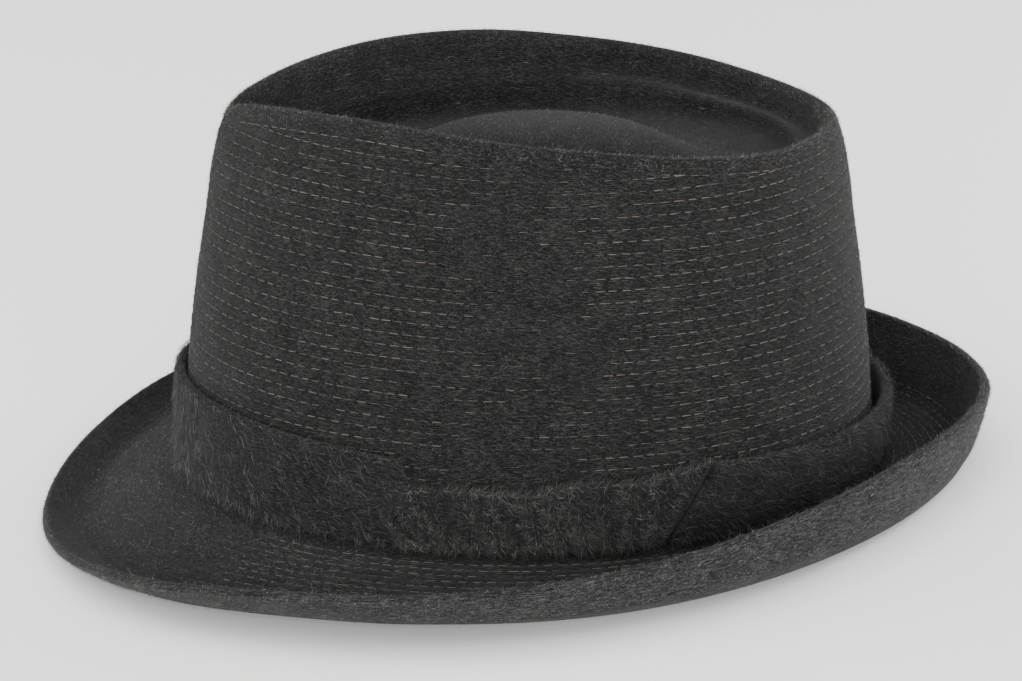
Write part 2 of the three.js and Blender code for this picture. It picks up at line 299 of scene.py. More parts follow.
    def regions(self, angles: np.ndarray) -> dict[Region, list[np.ndarray]]:
        """The loops that shape each region, in order from the dome's middle outward.

        Args:
            angles: degrees round the hat.

        Returns:
            The loops of each region.
        """
        pole = self.gutter(angles, 0.0, 0.0, self.dome_rise, 0.1)
        dome = [pole] + [
            self.gutter(angles, self.dome_half_length * reach, self.dome_half_width * reach,
                        self.dome_rise * rise, 0.1)
            for reach, rise in ((0.22, 0.98), (0.45, 0.88), (0.68, 0.64), (0.88, 0.27))
        ] + [self.gutter(angles, self.dome_half_length, self.dome_half_width, 0.8, 0.2)]
        foot = self.gutter(angles, self.dent_half_length, self.dent_half_width, 5.0, 0.55)
        dent = [
            self.gutter(angles, (self.dome_half_length + self.dent_half_length) / 2,
                        (self.dome_half_width + self.dent_half_width) / 2, 0.0, 0.3),
            self.gutter(angles, self.dent_half_length, self.dent_half_width, 2.0, 0.45),
            foot + (self.rim(angles, self.rim_fold, self.rim_fold) - foot) * 0.3,
            self.rim(angles, 1.6 * self.rim_fold, 2.2 * self.rim_fold, 0.95),
            self.rim(angles, 0.8 * self.rim_fold, 0.5 * self.rim_fold),
            self.rim(angles),
        ]
        crown = [self.wall(angles, height, inward) for height, inward in (
            (0.96, 0.84), (0.86, 0.67), (0.72, 0.53), (0.54, 0.34),
            (0.36, 0.19), (0.20, 0.09), (CROWN_FOOT, 0.0))]
        brim = [self.brim(angles, reach, sag) for reach, sag in (
            (0.035, 0.12), (0.38, 0.8), (0.72, 0.9), (0.95, 0.2))]
        lip = [self.lip(angles, share) for share in (0.84, 0.55, 0.25, 0.04)]
        return {Region.DOME: dome, Region.DENT: dent, Region.CROWN: crown,
                Region.BRIM: brim, Region.LIP: lip}


def through(controls: np.ndarray, steps: int) -> np.ndarray:
    """Draws a smooth curve through rows of control points, all angles at once.

    Args:
        controls: rows of points, shaped rows by angles by 3.
        steps: how many points to draw for each span between two rows.

    Returns:
        The denser rows, and the last control row at the end.
    """
    padded = np.concatenate([2 * controls[:1] - controls[1:2], controls,
                             2 * controls[-1:] - controls[-2:-1]])
    spans = np.sqrt(np.linalg.norm(np.diff(padded, axis=0), axis=2)) + 1e-5
    shares = np.linspace(0.0, 1.0, steps, endpoint=False)[:, None, None]
    rows = []
    for i in range(len(controls) - 1):
        p0, p1, p2, p3 = padded[i:i + 4]
        d0, d1, d2 = (spans[i + k][None, :, None] for k in range(3))
        t = shares * d1
        a1 = (p0 * -t + p1 * (t + d0)) / d0
        a2 = (p1 * (d1 - t) + p2 * t) / d1
        a3 = (p2 * (d1 + d2 - t) + p3 * (t - d1)) / d2
        b1 = (a1 * (d1 - t) + a2 * (t + d0)) / (d0 + d1)
        b2 = (a2 * (d1 + d2 - t) + a3 * t) / (d1 + d2)
        rows.append((b1 * (d1 - t) + b2 * t) / d1)
    return np.concatenate(rows + [controls[-1:]])


@dataclass
class Spots:
    """Places on the felt: where each is, and which way is out, round and down."""

    point: np.ndarray
    normal: np.ndarray
    round: np.ndarray
    down: np.ndarray


def unit(vectors: np.ndarray) -> np.ndarray:
    """Vectors brought to length one."""
    return vectors / (np.linalg.norm(vectors, axis=-1, keepdims=True) + 1e-12)


class FeltFace:
    """The felt's outer face as smooth rows of points, read at any share and angle."""

    ROWS = 241
    COLUMNS = 361

    def __init__(self, form: HatForm) -> None:
        """Draws every region of the form once, densely.

        Args:
            form: the hat's sizes.
        """
        self.form = form
        self.angles = np.linspace(0.0, 360.0, self.COLUMNS)
        regions = form.regions(self.angles)
        steps = 16
        dense = through(np.stack([loop for loops in regions.values() for loop in loops]), steps)
        self.points: dict[Region, np.ndarray] = {}
        start = 0
        for region, loops in regions.items():
            last = region is Region.LIP
            stop = start + (len(loops) - (1 if last else 0)) * steps
            self.points[region] = self._even(dense[start:stop + 1])
            start = stop
        self.normals = {region: self._normals(rows) for region, rows in self.points.items()}

    def _even(self, rows: np.ndarray) -> np.ndarray:
        """Spaces the rows of a region evenly along each angle's own profile.

        Args:
            rows: rows of points by angles.

        Returns:
            The evenly spaced rows.
        """
        walked = np.concatenate([np.zeros((1, rows.shape[1])), np.cumsum(
            np.linalg.norm(np.diff(rows, axis=0), axis=2), axis=0)])
        out = np.empty((self.ROWS, rows.shape[1], 3))
        for i in range(rows.shape[1]):
            wanted = np.linspace(0.0, walked[-1, i], self.ROWS)
            for axis in range(3):
                out[:, i, axis] = np.interp(wanted, walked[:, i], rows[:, i, axis])
        return out

    def _normals(self, rows: np.ndarray) -> np.ndarray:
        """Outward normals of a region's rows, closed round the hat.

        Args:
            rows: rows of points by angles.

        Returns:
            One normal for each point.
        """
        across = np.gradient(rows, axis=0)
        along = np.empty_like(rows)
        along[:, 1:-1] = rows[:, 2:] - rows[:, :-2]
        along[:, 0] = along[:, -1] = rows[:, 1] - rows[:, -2]
        normals = np.cross(across, along)
        flat = np.linalg.norm(normals, axis=-1) < 1e-9
        normals[flat] = (0.0, 0.0, 1.0)
        return unit(normals)

    def length(self, region: Region) -> float:
        """The mean length of a region's profile in millimetres."""
        rows = self.points[region]
        return float(np.linalg.norm(np.diff(rows, axis=0), axis=2).sum(axis=0).mean())

    def _read(self, grid: np.ndarray, share: np.ndarray, angle: np.ndarray) -> np.ndarray:
        """Reads a grid between its rows and columns.

        Args:
            grid: values by rows and columns.
            share: where to read across its rows, 0 to 1.
            angle: where to read round its columns, in degrees.

        Returns:
            The eased values.
        """
        row = np.clip(share, 0.0, 1.0) * (self.ROWS - 1)
        column = (np.asarray(angle) % 360.0) / 360.0 * (self.COLUMNS - 1)
        r, c = np.minimum(row.astype(int), self.ROWS - 2), np.minimum(column.astype(int), self.COLUMNS - 2)
        fr, fc = (row - r)[..., None], (column - c)[..., None]
        top = grid[r, c] * (1 - fc) + grid[r, c + 1] * fc
        bottom = grid[r + 1, c] * (1 - fc) + grid[r + 1, c + 1] * fc
        return top * (1 - fr) + bottom * fr

    def spots(self, region: Region, share: np.ndarray, angle: np.ndarray) -> Spots:
        """Places on a region of the felt.

        Args:
            region: the region to read.
            share: shares of the way across it, from the hat's middle outward.
            angle: degrees round the hat.

        Returns:
            The points with their outward, round and down directions.
        """
        share, angle = np.broadcast_arrays(np.asarray(share, float), np.asarray(angle, float))
        grid = self.points[region]
        point = self._read(grid, share, angle)
        normal = unit(self._read(self.normals[region], share, angle))
        ahead = self._read(grid, share, angle + 0.5) - self._read(grid, share, angle - 0.5)
        around = unit(ahead - normal * (ahead * normal).sum(-1, keepdims=True))
        return Spots(point, normal, around, unit(np.cross(around, normal)))


def linear_colour(hex_code: str) -> tuple[float, float, float, float]:
    """Turns an sRGB hex value into the linear colour that a shader takes.

    Args:
        hex_code: the colour, such as "#323231".

    Returns:
        Linear red, green and blue, and an alpha of 1.
    """
    channels = [int(hex_code[i:i + 2], 16) / 255.0 for i in (1, 3, 5)]
    linear = [c / 12.92 if c <= 0.04045 else ((c + 0.055) / 1.055) ** 2.4 for c in channels]
    return (linear[0], linear[1], linear[2], 1.0)


def add_node(tree: bpy.types.NodeTree, kind: str, settings: dict | None = None,
             inputs: dict | None = None) -> bpy.types.Node:
    """Adds a node with its settings, its input values and its links.

    Args:
        tree: the node tree it goes into.
        kind: the node's type.
        settings: attributes to set on the node.
        inputs: input values by name or number; a socket there is linked.

    Returns:
        The new node.
    """
    node = tree.nodes.new(kind)
    for key, value in (settings or {}).items():
        setattr(node, key, value)
    for key, value in (inputs or {}).items():
        socket = node.inputs[key]
        if isinstance(value, bpy.types.NodeSocket):
            tree.links.new(value, socket)
        else:
            socket.default_value = value
    return node


def new_material(name: str) -> tuple[bpy.types.Material, bpy.types.NodeTree]:
    """An empty node material and its tree.

    Args:
        name: the material's name.

    Returns:
        The material and its node tree.
    """
    material = bpy.data.materials.new(name)
    material.use_nodes = True
    material.node_tree.nodes.clear()
    return material, material.node_tree


def ramp(tree: bpy.types.NodeTree, factor: bpy.types.NodeSocket,
         stops: tuple[tuple[float, str], ...]) -> bpy.types.NodeSocket:
    """A colour ramp of sRGB hex stops, read at a factor.

    Args:
        tree: the node tree it goes into.
        factor: the socket that it is read at.
        stops: places from 0 to 1, each with its colour.

    Returns:
        The colour socket.
    """
    node = add_node(tree, "ShaderNodeValToRGB", inputs={"Fac": factor})
    elements = node.color_ramp.elements
    while len(elements) < len(stops):
        elements.new(1.0)
    for element, (place, colour) in zip(elements, stops):
        element.position = place
        element.color = linear_colour(colour)
    return node.outputs["Color"]


@dataclass(frozen=True)
class NapFelt:
    """Long-nap wool felt, brushed one way: dark, matt, streaked with lying fibres."""

    name: str
    dark: str
    middle: str
    light: str
    # The underside's paler tones are painted light: they stand for the floor bounce and backlight that the
    # lip's lower face catches.
    under: str = "#202020"
    pale: str = "#444443"
    fibre_width_mm: float = 0.30
    fibre_length_mm: float = 2.1
    grain_mm: float = 0.5
    lean_degrees: float = 24.0
    mottle_mm: float = 9.0
    bump_mm: float = 0.30
    sheen: float = 0.09

    def make(self) -> bpy.types.Material:
        """Builds the material: fibre streaks, fuzzy grain, mottling, a soft sheen, and a paler underside
        that is painted light.

        Returns:
            The felt.
        """
        material, tree = new_material(self.name)
        uv = add_node(tree, "ShaderNodeUVMap", {"uv_map": "felt"})
        streak_place = add_node(tree, "ShaderNodeMapping", inputs={
            "Vector": uv.outputs["UV"],
            "Rotation": (0.0, 0.0, math.radians(self.lean_degrees)),
            "Scale": (UV_UNIT_MM / self.fibre_length_mm, UV_UNIT_MM / self.fibre_width_mm, 1.0)})
        streaks = add_node(tree, "ShaderNodeTexNoise", inputs={
            "Vector": streak_place.outputs["Vector"], "Scale": 1.0, "Detail": 3.0,
            "Roughness": 0.65, "Distortion": 0.8})
        grain = add_node(tree, "ShaderNodeTexNoise", inputs={
            "Vector": uv.outputs["UV"], "Scale": UV_UNIT_MM / self.grain_mm, "Detail": 2.0,
            "Roughness": 0.7, "Distortion": 1.2})
        mottle = add_node(tree, "ShaderNodeTexNoise", inputs={
            "Vector": uv.outputs["UV"], "Scale": UV_UNIT_MM / self.mottle_mm, "Detail": 3.0,
            "Roughness": 0.55})
        fuzz = add_node(tree, "ShaderNodeMix", {"data_type": "FLOAT"}, {
            "Factor": 0.45, "A": streaks.outputs["Fac"], "B": grain.outputs["Fac"]})
        joined = add_node(tree, "ShaderNodeMix", {"data_type": "FLOAT"}, {
            "Factor": 0.10, "A": fuzz.outputs["Result"], "B": mottle.outputs["Fac"]})
        upper = ramp(tree, joined.outputs["Result"],
                     ((0.40, self.dark), (0.50, self.middle), (0.61, self.light)))
        # Painted light: the underside reads a paler ramp, standing for the light that falls on it from the
        # floor and from behind.
        under = ramp(tree, joined.outputs["Result"],
                     ((0.40, self.dark), (0.50, self.under), (0.60, self.pale)))
        side = add_node(tree, "ShaderNodeAttribute", {"attribute_name": "underside"})
        colour = add_node(tree, "ShaderNodeMix", {"data_type": "RGBA"}, {
            0: side.outputs["Fac"], 6: upper, 7: under}).outputs[2]
        bump = add_node(tree, "ShaderNodeBump", inputs={
            "Strength": 1.0, "Distance": self.bump_mm * MM, "Height": fuzz.outputs["Result"]})
        shader = add_node(tree, "ShaderNodeBsdfPrincipled", inputs={
            "Base Color": colour, "Roughness": 0.95, "IOR": 1.45, "Specular IOR Level": 0.15,
            "Sheen Weight": self.sheen, "Sheen Roughness": 0.42,
            "Sheen Tint": linear_colour("#b9b9b9"), "Normal": bump.outputs["Normal"]})
        add_node(tree, "ShaderNodeOutputMaterial", inputs={"Surface": shader.outputs["BSDF"]})
        return material


@dataclass(frozen=True)
class LooseFibre:
    """Wool fibres that stand out of the nap; each has its own tone."""

    name: str
    stops: tuple[tuple[float, str], ...]
    roughness: float = 0.75
    sheen: float = 0.1

    def make(self) -> bpy.types.Material:
        """Builds the material, with a tone read from each fibre's attribute.

        Returns:
            The fibres' material.
        """
        material, tree = new_material(self.name)
        tone = add_node(tree, "ShaderNodeAttribute", {"attribute_name": "tone"})
        colour = ramp(tree, tone.outputs["Fac"], self.stops)
        shader = add_node(tree, "ShaderNodeBsdfPrincipled", inputs={
            "Base Color": colour, "Roughness": self.roughness, "IOR": 1.5,
            "Specular IOR Level": 0.3, "Sheen Weight": self.sheen, "Sheen Roughness": 0.4,
            "Sheen Tint": linear_colour("#c4c4c4")})
        add_node(tree, "ShaderNodeOutputMaterial", inputs={"Surface": shader.outputs["BSDF"]})
        return material


def finish_mesh(name: str, mesh: bpy.types.Mesh, material: bpy.types.Material,
                smooth: bool = True) -> bpy.types.Object:
    """Puts a finished mesh in the scene, dressed and riding on the hat.

    Args:
        name: the piece's name.
        mesh: its mesh, already in place.
        material: its finish.
        smooth: whether its faces are shaded smooth.

    Returns:
        The new object.
    """
    mesh.materials.append(material)
    mesh.polygons.foreach_set("use_smooth", [smooth] * len(mesh.polygons))
    piece = bpy.data.objects.new(name, mesh)
    bpy.context.scene.collection.objects.link(piece)
    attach(piece, "root")
    LOG.info("%s: %d faces", name, len(mesh.polygons))
    return piece


def sheet_mesh(name: str, rows: np.ndarray, place: np.ndarray, ends: bool = False,
               underside: np.ndarray | None = None) -> bpy.types.Mesh:
    """Shapes a grid of cloth cells to rows of points and sews its edges shut.

    Args:
        name: the mesh's name.
        rows: points in metres, rows by columns by 3.
        place: each point's place on the felt in millimetres, rows by columns by 2.
        ends: whether the first and the last row are closed with a face.
        underside: how far each row belongs to the felt's underside, 0 to 1, which is painted paler as
            painted light from the floor and from behind.

    Returns:
        A closed mesh with a UV map named felt.
    """
    count, across = rows.shape[:2]
    shell = bmesh.new()
    bmesh.ops.create_grid(shell, x_segments=across - 1, y_segments=count - 1, size=1.0)
    shell.verts.ensure_lookup_table()
    flat_rows, flat_place = rows.reshape(-1, 3), place.reshape(-1, 2) / UV_UNIT_MM
    for vertex, point in zip(shell.verts, flat_rows):
        vertex.co = point
    # Each row's underside share, which the felt reads to paint its underside paler: painted light.
    if underside is not None:
        side = shell.verts.layers.float.new("underside")
        for vertex in shell.verts:
            vertex[side] = underside[vertex.index // across]
    layer = shell.loops.layers.uv.new("felt")
    for face in shell.faces:
        for loop in face.loops:
            loop[layer].uv = flat_place[loop.vert.index]
    bmesh.ops.remove_doubles(shell, verts=shell.verts, dist=2e-6)
    if ends:
        open_edges = [edge for edge in shell.edges if edge.is_boundary]
        bmesh.ops.holes_fill(shell, edges=open_edges, sides=0)
    if shell.calc_volume(signed=True) < 0:
        bmesh.ops.reverse_faces(shell, faces=shell.faces)
    mesh = bpy.data.meshes.new(name)
    shell.to_mesh(mesh)
    shell.free()
    return mesh


@dataclass
class Pattern:
    """One small shape that is repeated: its corners and its triangles."""

    corners: np.ndarray
    triangles: np.ndarray


def pattern_from(shell: bmesh.types.BMesh) -> Pattern:
    """Reads a small bmesh shape as triangles and frees it.

    Args:
        shell: the shape.

    Returns:
        Its corners and triangles.
    """
    bmesh.ops.triangulate(shell, faces=shell.faces)
    if shell.calc_volume(signed=True) < 0:
        bmesh.ops.reverse_faces(shell, faces=shell.faces)
    shell.verts.index_update()
    corners = np.array([vertex.co[:] for vertex in shell.verts])
    triangles = np.array([[loop.vert.index for loop in face.loops] for face in shell.faces])
    shell.free()
    return Pattern(corners, triangles)


def straight_fibre() -> Pattern:
    """A wool fibre one unit long and wide: three sides that meet in a point.

    Returns:
        The fibre, rising along Z.
    """
    shell = bmesh.new()
    bmesh.ops.create_cone(shell, cap_ends=True, segments=3, radius1=0.5, radius2=0.0, depth=1.0)
    bmesh.ops.translate(shell, verts=shell.verts, vec=(0.0, 0.0, 0.5))
    bmesh.ops.remove_doubles(shell, verts=shell.verts, dist=1e-4)
    return pattern_from(shell)


def curled_fibre(turn_degrees: float, steps: int = 5) -> Pattern:
    """A fibre that curls over, one unit long, bending toward -Y as it rises along Z.

    Args:
        turn_degrees: how far it turns from root to tip.
        steps: how many straight lengths it is drawn with.

    Returns:
        The curl.
    """
    shell = bmesh.new()
    bmesh.ops.create_cone(shell, cap_ends=True, segments=3, radius1=0.5, radius2=0.5, depth=1.0)
    bmesh.ops.translate(shell, verts=shell.verts, vec=(0.0, 0.0, 0.5))
    upright = [edge for edge in shell.edges if abs(edge.verts[0].co.z - edge.verts[1].co.z) > 0.5]
    bmesh.ops.subdivide_edges(shell, edges=upright, cuts=steps - 1, use_grid_fill=True)
    turn = math.radians(turn_degrees)
    radius = 1.0 / turn
    for vertex in shell.verts:
        across, depth, height = vertex.co
        girth = (1.0 - height) ** 0.6 + 0.06
        bend = turn * height
        over = radius * (1.0 - math.cos(bend)) * CURL_GIRTH
        vertex.co = Vector((across * girth, depth * girth - over, radius * math.sin(bend)))
    return pattern_from(shell)


def thread_stitch() -> Pattern:
    """One stitch: a short length of thread, a little slimmer at one end.

    Returns:
        The stitch, one unit long along X.
    """
    shell = bmesh.new()
    bmesh.ops.create_cone(shell, cap_ends=True, cap_tris=True, segments=4,
                          radius1=0.5, radius2=0.38, depth=1.0)
    bmesh.ops.rotate(shell, verts=shell.verts, matrix=Matrix.Rotation(math.radians(90), 3, "Y"))
    return pattern_from(shell)


def repeat_pattern(name: str, pattern: Pattern, points: np.ndarray, axes: tuple[np.ndarray, ...],
                   sizes: np.ndarray, tones: np.ndarray) -> bpy.types.Mesh:
    """Joins many placed copies of a pattern into one mesh.

    Args:
        name: the mesh's name.
        pattern: the small shape.
        points: where the copies stand, in laid-down metres.
        axes: the directions of each copy's X, Y and Z.
        sizes: each copy's size along X, Y and Z in millimetres.
        tones: each copy's tone from 0 to 1.

    Returns:
        The joined mesh, with a point attribute named tone.
    """
    corners = points[:, None, :] + sum(
        axes[k][:, None, :] * (pattern.corners[None, :, k, None] * sizes[:, None, k, None] * MM)
        for k in range(3))
    copies, each = corners.shape[:2]
    triangles = pattern.triangles[None] + (np.arange(copies) * each)[:, None, None]
    triangles = triangles.reshape(-1, 3)
    mesh = bpy.data.meshes.new(name)
    mesh.vertices.add(copies * each)
    mesh.vertices.foreach_set("co", corners.reshape(-1).astype(np.float32))
    mesh.loops.add(triangles.size)
    mesh.loops.foreach_set("vertex_index", triangles.reshape(-1).astype(np.int32))
    mesh.polygons.add(len(triangles))
    mesh.polygons.foreach_set("loop_start", np.arange(0, triangles.size, 3, dtype=np.int32))
    mesh.update(calc_edges=True)
    tone = mesh.attributes.new("tone", "FLOAT", "POINT")
    tone.data.foreach_set("value", np.repeat(tones, each).astype(np.float32))
    mesh.validate()
    return mesh


@dataclass(frozen=True)
class LevelRows:
    """Rows of running stitch that run level round the hat until the rim cuts them off."""

    region: Region
    lowest_mm: float
    spacing_mm: float
    count: int
    rim_margin_mm: float = 1.0
    groove_mm: float = 0.26
    sunk_mm: float = 0.12

    def heights(self) -> np.ndarray:
        """The height of each row above the head line."""
        return self.lowest_mm + self.spacing_mm * np.arange(self.count)

    def line(self, face: FeltFace, row: int, angles: np.ndarray) -> tuple[np.ndarray, np.ndarray]:
        """Where a row runs.

        Args:
            face: the felt's outer face.
            row: the number of the row, from the lowest.
            angles: degrees round the hat.

        Returns:
            The share of the region at each angle, and whether the row is there at all.
        """
        shares = np.linspace(0.0, 1.0, 61)
        heights = face.spots(self.region, shares[:, None], angles[None, :]).point[..., 2]
        wanted = self.heights()[row]
        if self.region is Region.CROWN:
            heights, shares = heights[::-1], shares[::-1]
        at = np.array([np.interp(wanted, column, shares) for column in heights.T])
        rim = face.form.rim(angles)[:, 2]
        return at, (wanted < rim - self.rim_margin_mm) & (wanted > heights[0])

    def groove(self, face: FeltFace, shares: np.ndarray, angles: np.ndarray) -> np.ndarray:
        """How deep the thread pulls the felt in, at shares and angles of the region.

        Args:
            face: the felt's outer face.
            shares: shares of the region.
            angles: degrees round the hat.

        Returns:
            Millimetres, by shares and angles.
        """
        heights = face.spots(self.region, shares[:, None], angles[None, :]).point[..., 2]
        rim = face.form.rim(angles)[None, :, 2]
        row = np.clip(np.round((heights - self.lowest_mm) / self.spacing_mm), 0, self.count - 1)
        apart = heights - self.lowest_mm - row * self.spacing_mm
        here = np.clip((rim - self.rim_margin_mm - heights) / 2.0, 0.0, 1.0)
        return self.groove_mm * np.exp(-(apart / GROOVE_HALF_WIDTH_MM) ** 2) * here


@dataclass(frozen=True)
class EdgeRows:
    """Rows of running stitch that follow the brim between the band and the lip."""

    region: Region
    first_share: float
    last_share: float
    count: int
    groove_mm: float = 0.26
    sunk_mm: float = 0.18

    def line(self, face: FeltFace, row: int, angles: np.ndarray) -> tuple[np.ndarray, np.ndarray]:
        """Where a row runs: at one share of the region, all the way round."""
        share = self.first_share + (self.last_share - self.first_share) * (row + 0.5) / self.count
        return np.full(len(angles), share), np.full(len(angles), True)

    def groove(self, face: FeltFace, shares: np.ndarray, angles: np.ndarray) -> np.ndarray:
        """How deep the thread pulls the felt in, at shares and angles of the region.

        Args:
            face: the felt's outer face.
            shares: shares of the region.
            angles: degrees round the hat.

        Returns:
            Millimetres, by shares and angles.
        """
        rows = self.first_share + (self.last_share - self.first_share) * (
            np.arange(self.count) + 0.5) / self.count
        apart = np.abs(shares[:, None] - rows[None, :]).min(axis=1) * face.length(self.region)
        depth = self.groove_mm * np.exp(-(apart / GROOVE_HALF_WIDTH_MM) ** 2)
        return np.repeat(depth[:, None], len(angles), axis=1)


StitchRows = LevelRows | EdgeRows

STITCHING: tuple[StitchRows, ...] = (
    LevelRows(Region.DENT, 92.5, 3.3, 6, sunk_mm=0.34),
    LevelRows(Region.CROWN, 10.0, 3.3, 33),
    EdgeRows(Region.BRIM, 0.06, 0.97, 11),
)


@dataclass
class Hood:
    """The blocked felt body: dome, dent, crown side, brim and lip in one skin."""

    face: FeltFace
    place: RestingPlace
    columns: int = 144
    upper_step_mm: float = 0.85
    plain_step_mm: float = 2.4
    lower_step_mm: float = 4.0

    def _shares(self, region: Region, step_mm: float) -> np.ndarray:
        """Shares of a region at about a step apart; its first is its neighbour's last.

        Args:
            region: the region.
            step_mm: how far apart, in millimetres.

        Returns:
            Shares from 0 to 1, without the 0 that a neighbour holds.
        """
        count = max(3, int(round(self.face.length(region) / step_mm)))
        shares = np.linspace(0.0, 1.0, count + 1)
        return shares if region is Region.DOME else shares[1:]

    def _skin(self) -> tuple[np.ndarray, np.ndarray, np.ndarray]:
        """Rows of points from the dome out over the lip and back, their place and their side.

        Returns:
            The points, their place on the felt, and each row's share of the underside.
        """
        angles = np.linspace(0.0, 360.0, self.columns + 1)
        upper, lower = [], []
        for region in Region:
            sewn = [rows for rows in STITCHING if rows.region is region]
            shares = self._shares(region, self.upper_step_mm if sewn else self.plain_step_mm)
            spots = self.face.spots(region, shares[:, None], angles[None, :])
            depth = sum((rows.groove(self.face, shares, angles) for rows in sewn),
                        np.zeros((len(shares), len(angles))))
            upper.append(spots.point - spots.normal * depth[..., None])
            coarse = self._shares(region, self.lower_step_mm)
            under = self.face.spots(region, coarse[:, None], angles[None, :])
            lower.append(under.point - under.normal * self.face.form.felt_thickness)
        top, bottom = np.concatenate(upper), np.concatenate(lower)
        middle = (top[-1] + bottom[-1]) / 2
        half = (top[-1] - bottom[-1]) / 2
        outward = unit(middle - (top[-4] + bottom[-3]) / 2) * np.linalg.norm(half, axis=-1, keepdims=True)
        edge = np.stack([middle + half * math.cos(t) + outward * EDGE_BULGE * math.sin(t)
                         for t in np.linspace(0.0, math.pi, 8)[1:-1]])
        rows = np.concatenate([top, edge, bottom[::-1]])
        steps = np.linalg.norm(np.diff(rows, axis=0), axis=2).mean(axis=1)
        walked = np.concatenate([[0.0], np.cumsum(steps)])
        girth = np.radians(angles) * MEAN_RADIUS_MM
        uv = np.stack(np.broadcast_arrays(girth[None, :], walked[:, None]), -1)
        flat = len(self._shares(Region.DOME, self.plain_step_mm))
        uv[:flat] = rows[:flat, :, :2]
        # The underside share, 0 on top and 1 below, rising across the cut edge: the felt paints this side
        # paler as painted light from the floor and from behind.
        side = np.concatenate([np.zeros(len(top)), np.linspace(0.2, 1.0, len(edge)), np.ones(len(bottom))])
        return rows, uv, side

    def build(self, finish: NapFelt) -> bpy.types.Object:
        """Builds the skin and dresses it in felt.

        Args:
            finish: the hood's felt.

        Returns:
            The skin, which stands for the hood.
        """
        rows, uv, side = self._skin()
        laid = self.place.lay(rows)
        laid[..., 2] = np.maximum(laid[..., 2], 0.0)
        piece = finish_mesh("hood_felt_skin", sheet_mesh("hood_felt_skin", laid, uv, underside=side),
                            finish.make())
        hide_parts("hood")
        return piece


@dataclass
class Stitcher:
    """Sews the running stitch: rows of thread laid along the felt."""

    face: FeltFace
    place: RestingPlace
    pitch_mm: float = 3.95
    stitch_mm: float = 2.5
    thread_mm: float = 0.29
    buried_angle: float = 88.0
    buried_width: float = 15.0
    buried_mm: float = 0.24
    plain_front: float = 48.0

    def _row(self, rows: StitchRows, row: int, rng: np.random.Generator) -> tuple[Spots, np.ndarray]:
        """One row of stitch places, evenly spaced along its own line, with their angles.

        Args:
            rows: the rows that it belongs to.
            row: its number, from the lowest.
            rng: the source of its small irregularities.

        Returns:
            The places, and the angle of each.
        """
        angles = np.linspace(0.0, 360.0, 361)
        shares, _ = rows.line(self.face, row, angles)
        loop = self.face.spots(rows.region, shares, angles).point
        walked = np.concatenate([[0.0], np.cumsum(np.linalg.norm(np.diff(loop, axis=0), axis=1))])
        count = max(8, int(round(walked[-1] / (self.pitch_mm * rng.uniform(0.95, 1.05)))))
        wanted = (np.arange(count) + rng.uniform() + rng.normal(0.0, 0.05, count)) / count * walked[-1]
        at = np.interp(wanted % walked[-1], walked, angles)
        present = rows.line(self.face, row, at)[1]
        at = at[present & (rng.uniform(size=count) > 0.04)]
        here, ahead, behind = (
            self.face.spots(rows.region, rows.line(self.face, row, at + turn)[0], at + turn)
            for turn in (0.0, 0.4, -0.4))
        here.round = unit(ahead.point - behind.point)
        return here, at

    def _depth(self, rows: StitchRows, angles: np.ndarray, heights: np.ndarray,
               rng: np.random.Generator) -> np.ndarray:
        """How deep each stitch sits in the felt: deepest where the nap hides the rows.

        Args:
            rows: the rows that are sewn.
            angles: degrees round the hat of each stitch.
            heights: millimetres above the head line.
            rng: the source of small irregularities.

        Returns:
            Millimetres for each stitch.
        """
        depth = rows.sunk_mm + rng.uniform(-0.05, 0.10, len(angles))
        if rows.region is Region.BRIM:
            from_front = np.abs((angles + 180.0) % 360.0 - 180.0)
            return depth + self.buried_mm * np.clip((self.plain_front - from_front) / 8.0, 0.0, 1.5)
        if rows.region is Region.DENT:
            return depth
        waves = 0.06 * np.sin(angles / 7.0 + heights / 9.0) + 0.05 * np.sin(angles / 3.1 - heights / 5.0)
        return depth + waves + self.buried_mm * np.exp(
            -((angles - self.buried_angle) / self.buried_width) ** 2)

    def build(self, rows: StitchRows, name: str, slot: str, material: bpy.types.Material,
              seed: int) -> bpy.types.Object:
        """Sews the rows of one region.

        Args:
            rows: the rows to sew.
            name: the piece's name.
            slot: not used.
            material: the thread's finish.
            seed: sets this piece's own small irregularities.

        Returns:
            The joined stitches.
        """
        rng = np.random.default_rng(seed)
        parts = [self._row(rows, row, rng) for row in range(rows.count)]
        point, normal, around = (np.concatenate([getattr(part, key) for part, _ in parts])
                                 for key in ("point", "normal", "round"))
        angles = np.concatenate([at for _, at in parts])
        count = len(point)
        side = np.cross(normal, around)
        x_axis = unit(around + side * rng.normal(0.0, 0.03, count)[:, None])
        y_axis = np.cross(normal, x_axis)
        sunk = self._depth(rows, angles, point[:, 2], rng)
        points = self.place.lay(point - normal * sunk[:, None])
        sizes = np.stack([self.stitch_mm * rng.uniform(0.82, 1.12, count),
                          self.thread_mm * rng.uniform(0.85, 1.15, count),
                          self.thread_mm * rng.uniform(0.9, 1.2, count)], -1)
        axes = tuple(self.place.turn(axis) for axis in (x_axis, y_axis, normal))
        tones = rng.uniform(0.0, 1.0, count)
        mesh = repeat_pattern(name, thread_stitch(), points, axes, sizes, tones)
        return finish_mesh(name, mesh, material)


class NapSide(Enum):
    """Which face of the felt a patch of nap grows on."""

    UPPER = "upper"
    UNDER = "under"
    EDGE = "edge"


@dataclass(frozen=True)
class Growth:
    """How fibres grow: how many, how long and wide, which way they lie and how far they lift."""

    name: str
    count: int
    length_mm: tuple[float, float]
    lean_degrees: float
    lift_degrees: float = 9.0
    width_mm: float = 0.085
    spread_degrees: float = 22.0


@dataclass(frozen=True)
class NapPatch(Growth):
    """A stretch of nap on the hood, and where it grows."""

    region: Region = Region.CROWN
    shares: tuple[float, float] = (0.0, 1.0)
    angles: tuple[float, float] = (0.0, 360.0)
    side: NapSide = NapSide.UPPER


